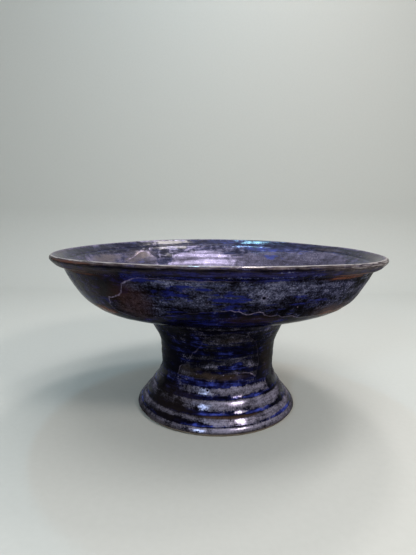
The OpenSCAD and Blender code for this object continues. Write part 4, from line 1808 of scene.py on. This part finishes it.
LAMPS = (
    Lamp("warm_window", 40, 37, (0.23, 0.15), 4.6, (1.0, 0.93, 0.86)),
    Lamp("cool_window", -23, 25, (0.11, 0.11), 2.2, (0.62, 0.85, 1.0)),
    Lamp("ceiling", 31, 76, (0.64, 0.25), 3.7, (1.0, 0.97, 0.95)),
    Lamp("skylight", -159.5, 70, (0.035, 0.10), 1.1, (0.35, 0.75, 1.0)),
    Lamp("rear_window", 153, 68, (0.12, 0.17), 2.0, (1.0, 0.95, 0.92)),
    Lamp("side_window", 107, 70, (0.10, 0.14), 0.9, (1.0, 0.96, 0.94)),
)


@dataclass
class Studio:
    """The floor, the backdrop, the lamps and the camera, in metres and degrees.

    Attributes:
        focal: Focal length of the camera, in millimetres: as long as its picture is wide.
        place: Place of the camera.
        pitch: How far the camera looks down.
        yaw: How far it is turned to the left.
        roll: How far it is rolled.
        floor_w: Half the width of the floor.
        floor_y: Front edge of the floor.
        back_y: Place of the backdrop.
        back_h: Height of the backdrop.
        bend_r: Radius of the bend between them.
        bend_steps: Steps of that bend.
        paper: Finish of the floor and backdrop.
        far: Colour behind them.
        light: Colours of the soft light all round, from level upwards.
        light_at: How high each of them lies, as the sine of its angle above level.
    """

    focal: float = 36 * 416 / 555
    place: tuple[float, float, float] = (0.0, -0.31607, 0.14416)
    pitch: float = 8.394
    yaw: float = 1.281
    roll: float = 0.60
    floor_w: float = 2.4
    floor_y: float = -1.6
    back_y: float = 0.62
    back_h: float = 2.2
    bend_r: float = 0.16
    bend_steps: int = 24
    paper: Paper = Paper()
    far: Colour = (0.50, 0.515, 0.50)
    light: tuple[Colour, ...] = ((0.12, 0.125, 0.12), (0.20, 0.21, 0.20), (0.62, 0.64, 0.63))
    light_at: tuple[float, ...] = (0.0, 0.35, 0.80)

    def camera(self) -> None:
        """Sets the camera at the photograph's viewing angle."""
        data = bpy.data.cameras.new("camera")
        data.lens, data.clip_start = self.focal, 0.01
        made = placed("camera", data)
        made.matrix_world = (Matrix.Translation(self.place)
                             @ Matrix.Rotation(math.radians(self.yaw), 4, "Z")
                             @ Matrix.Rotation(math.radians(90 - self.pitch), 4, "X")
                             @ Matrix.Rotation(math.radians(self.roll), 4, "Z"))
        bpy.context.scene.camera = made

    def sky(self) -> None:
        """Sets the world: a soft light from above, with the colour of the backdrop where the camera sees it."""
        sky = Shader(bpy.data.worlds.new("studio"))
        up = sky.node("ShaderNodeSeparateXYZ", {}, {0: sky.node("ShaderNodeTexCoord", {}, {}, "Generated")}, 2)
        light = up.ramp(self.light_at, self.light)
        seen = sky.node("ShaderNodeLightPath", {}, {}, "Is Camera Ray")
        shown = sky.node("ShaderNodeBackground", {}, {"Color": sky.mix(seen, light, self.far), "Strength": 1.0})
        bpy.context.scene.world = sky.finish(shown)

    def backdrop(self) -> None:
        """Makes the pale floor, which curves up into the backdrop."""
        bend = arc(np.array([self.back_y - self.bend_r, self.bend_r]), self.bend_r, -90, 0, self.bend_steps)
        side = np.vstack([[(self.floor_y, 0.0)], bend, [(self.back_y, self.back_h)]])
        mesh = bpy.data.meshes.new("floor")
        mesh.from_pydata([(x, y, z) for y, z in side for x in (-self.floor_w, self.floor_w)], [],
                         [(2 * i, 2 * i + 1, 2 * i + 3, 2 * i + 2) for i in range(len(side) - 1)])
        mesh.polygons.foreach_set("use_smooth", [True] * len(mesh.polygons))
        made = placed("floor", mesh)
        mesh.materials.append(self.paper.material())

    def build(self) -> None:
        """Sets up the whole studio."""
        self.backdrop()
        for lamp in LAMPS:
            lamp.hang()
        self.sky()
        self.camera()


def dress(piece: bpy.types.Object, material: bpy.types.Material, node: str, slot: str) -> None:
    """Gives a piece its finish, and says which solid it stands for.

    Args:
        piece: The piece.
        material: Its finish.
        node: The solid's node.
        slot: The record's material slot. Not used.
    """
    piece.data.materials.append(material)
    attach(piece, "root")
    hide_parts(node)
    log.info("%s stands for %s, %d faces", piece.name, node, len(piece.data.polygons))


def main() -> None:
    """Builds the bowl and the studio."""
    logging.basicConfig(level=logging.INFO, format="%(message)s")
    bpy.context.scene.view_settings.view_transform = "Standard"
    sizes, hand = Sizes(), Handmade()
    clay, slip = CLAY.material(), SLIP.material()
    ThrownClay(sizes, hand).build(clay)
    Joint(sizes, hand).build(clay, slip)
    Glazing(sizes, hand).build(POURS)
    Studio().build()
    log.info("the frame has %d solids", len(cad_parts))


if __name__ == "__main__":
    main()
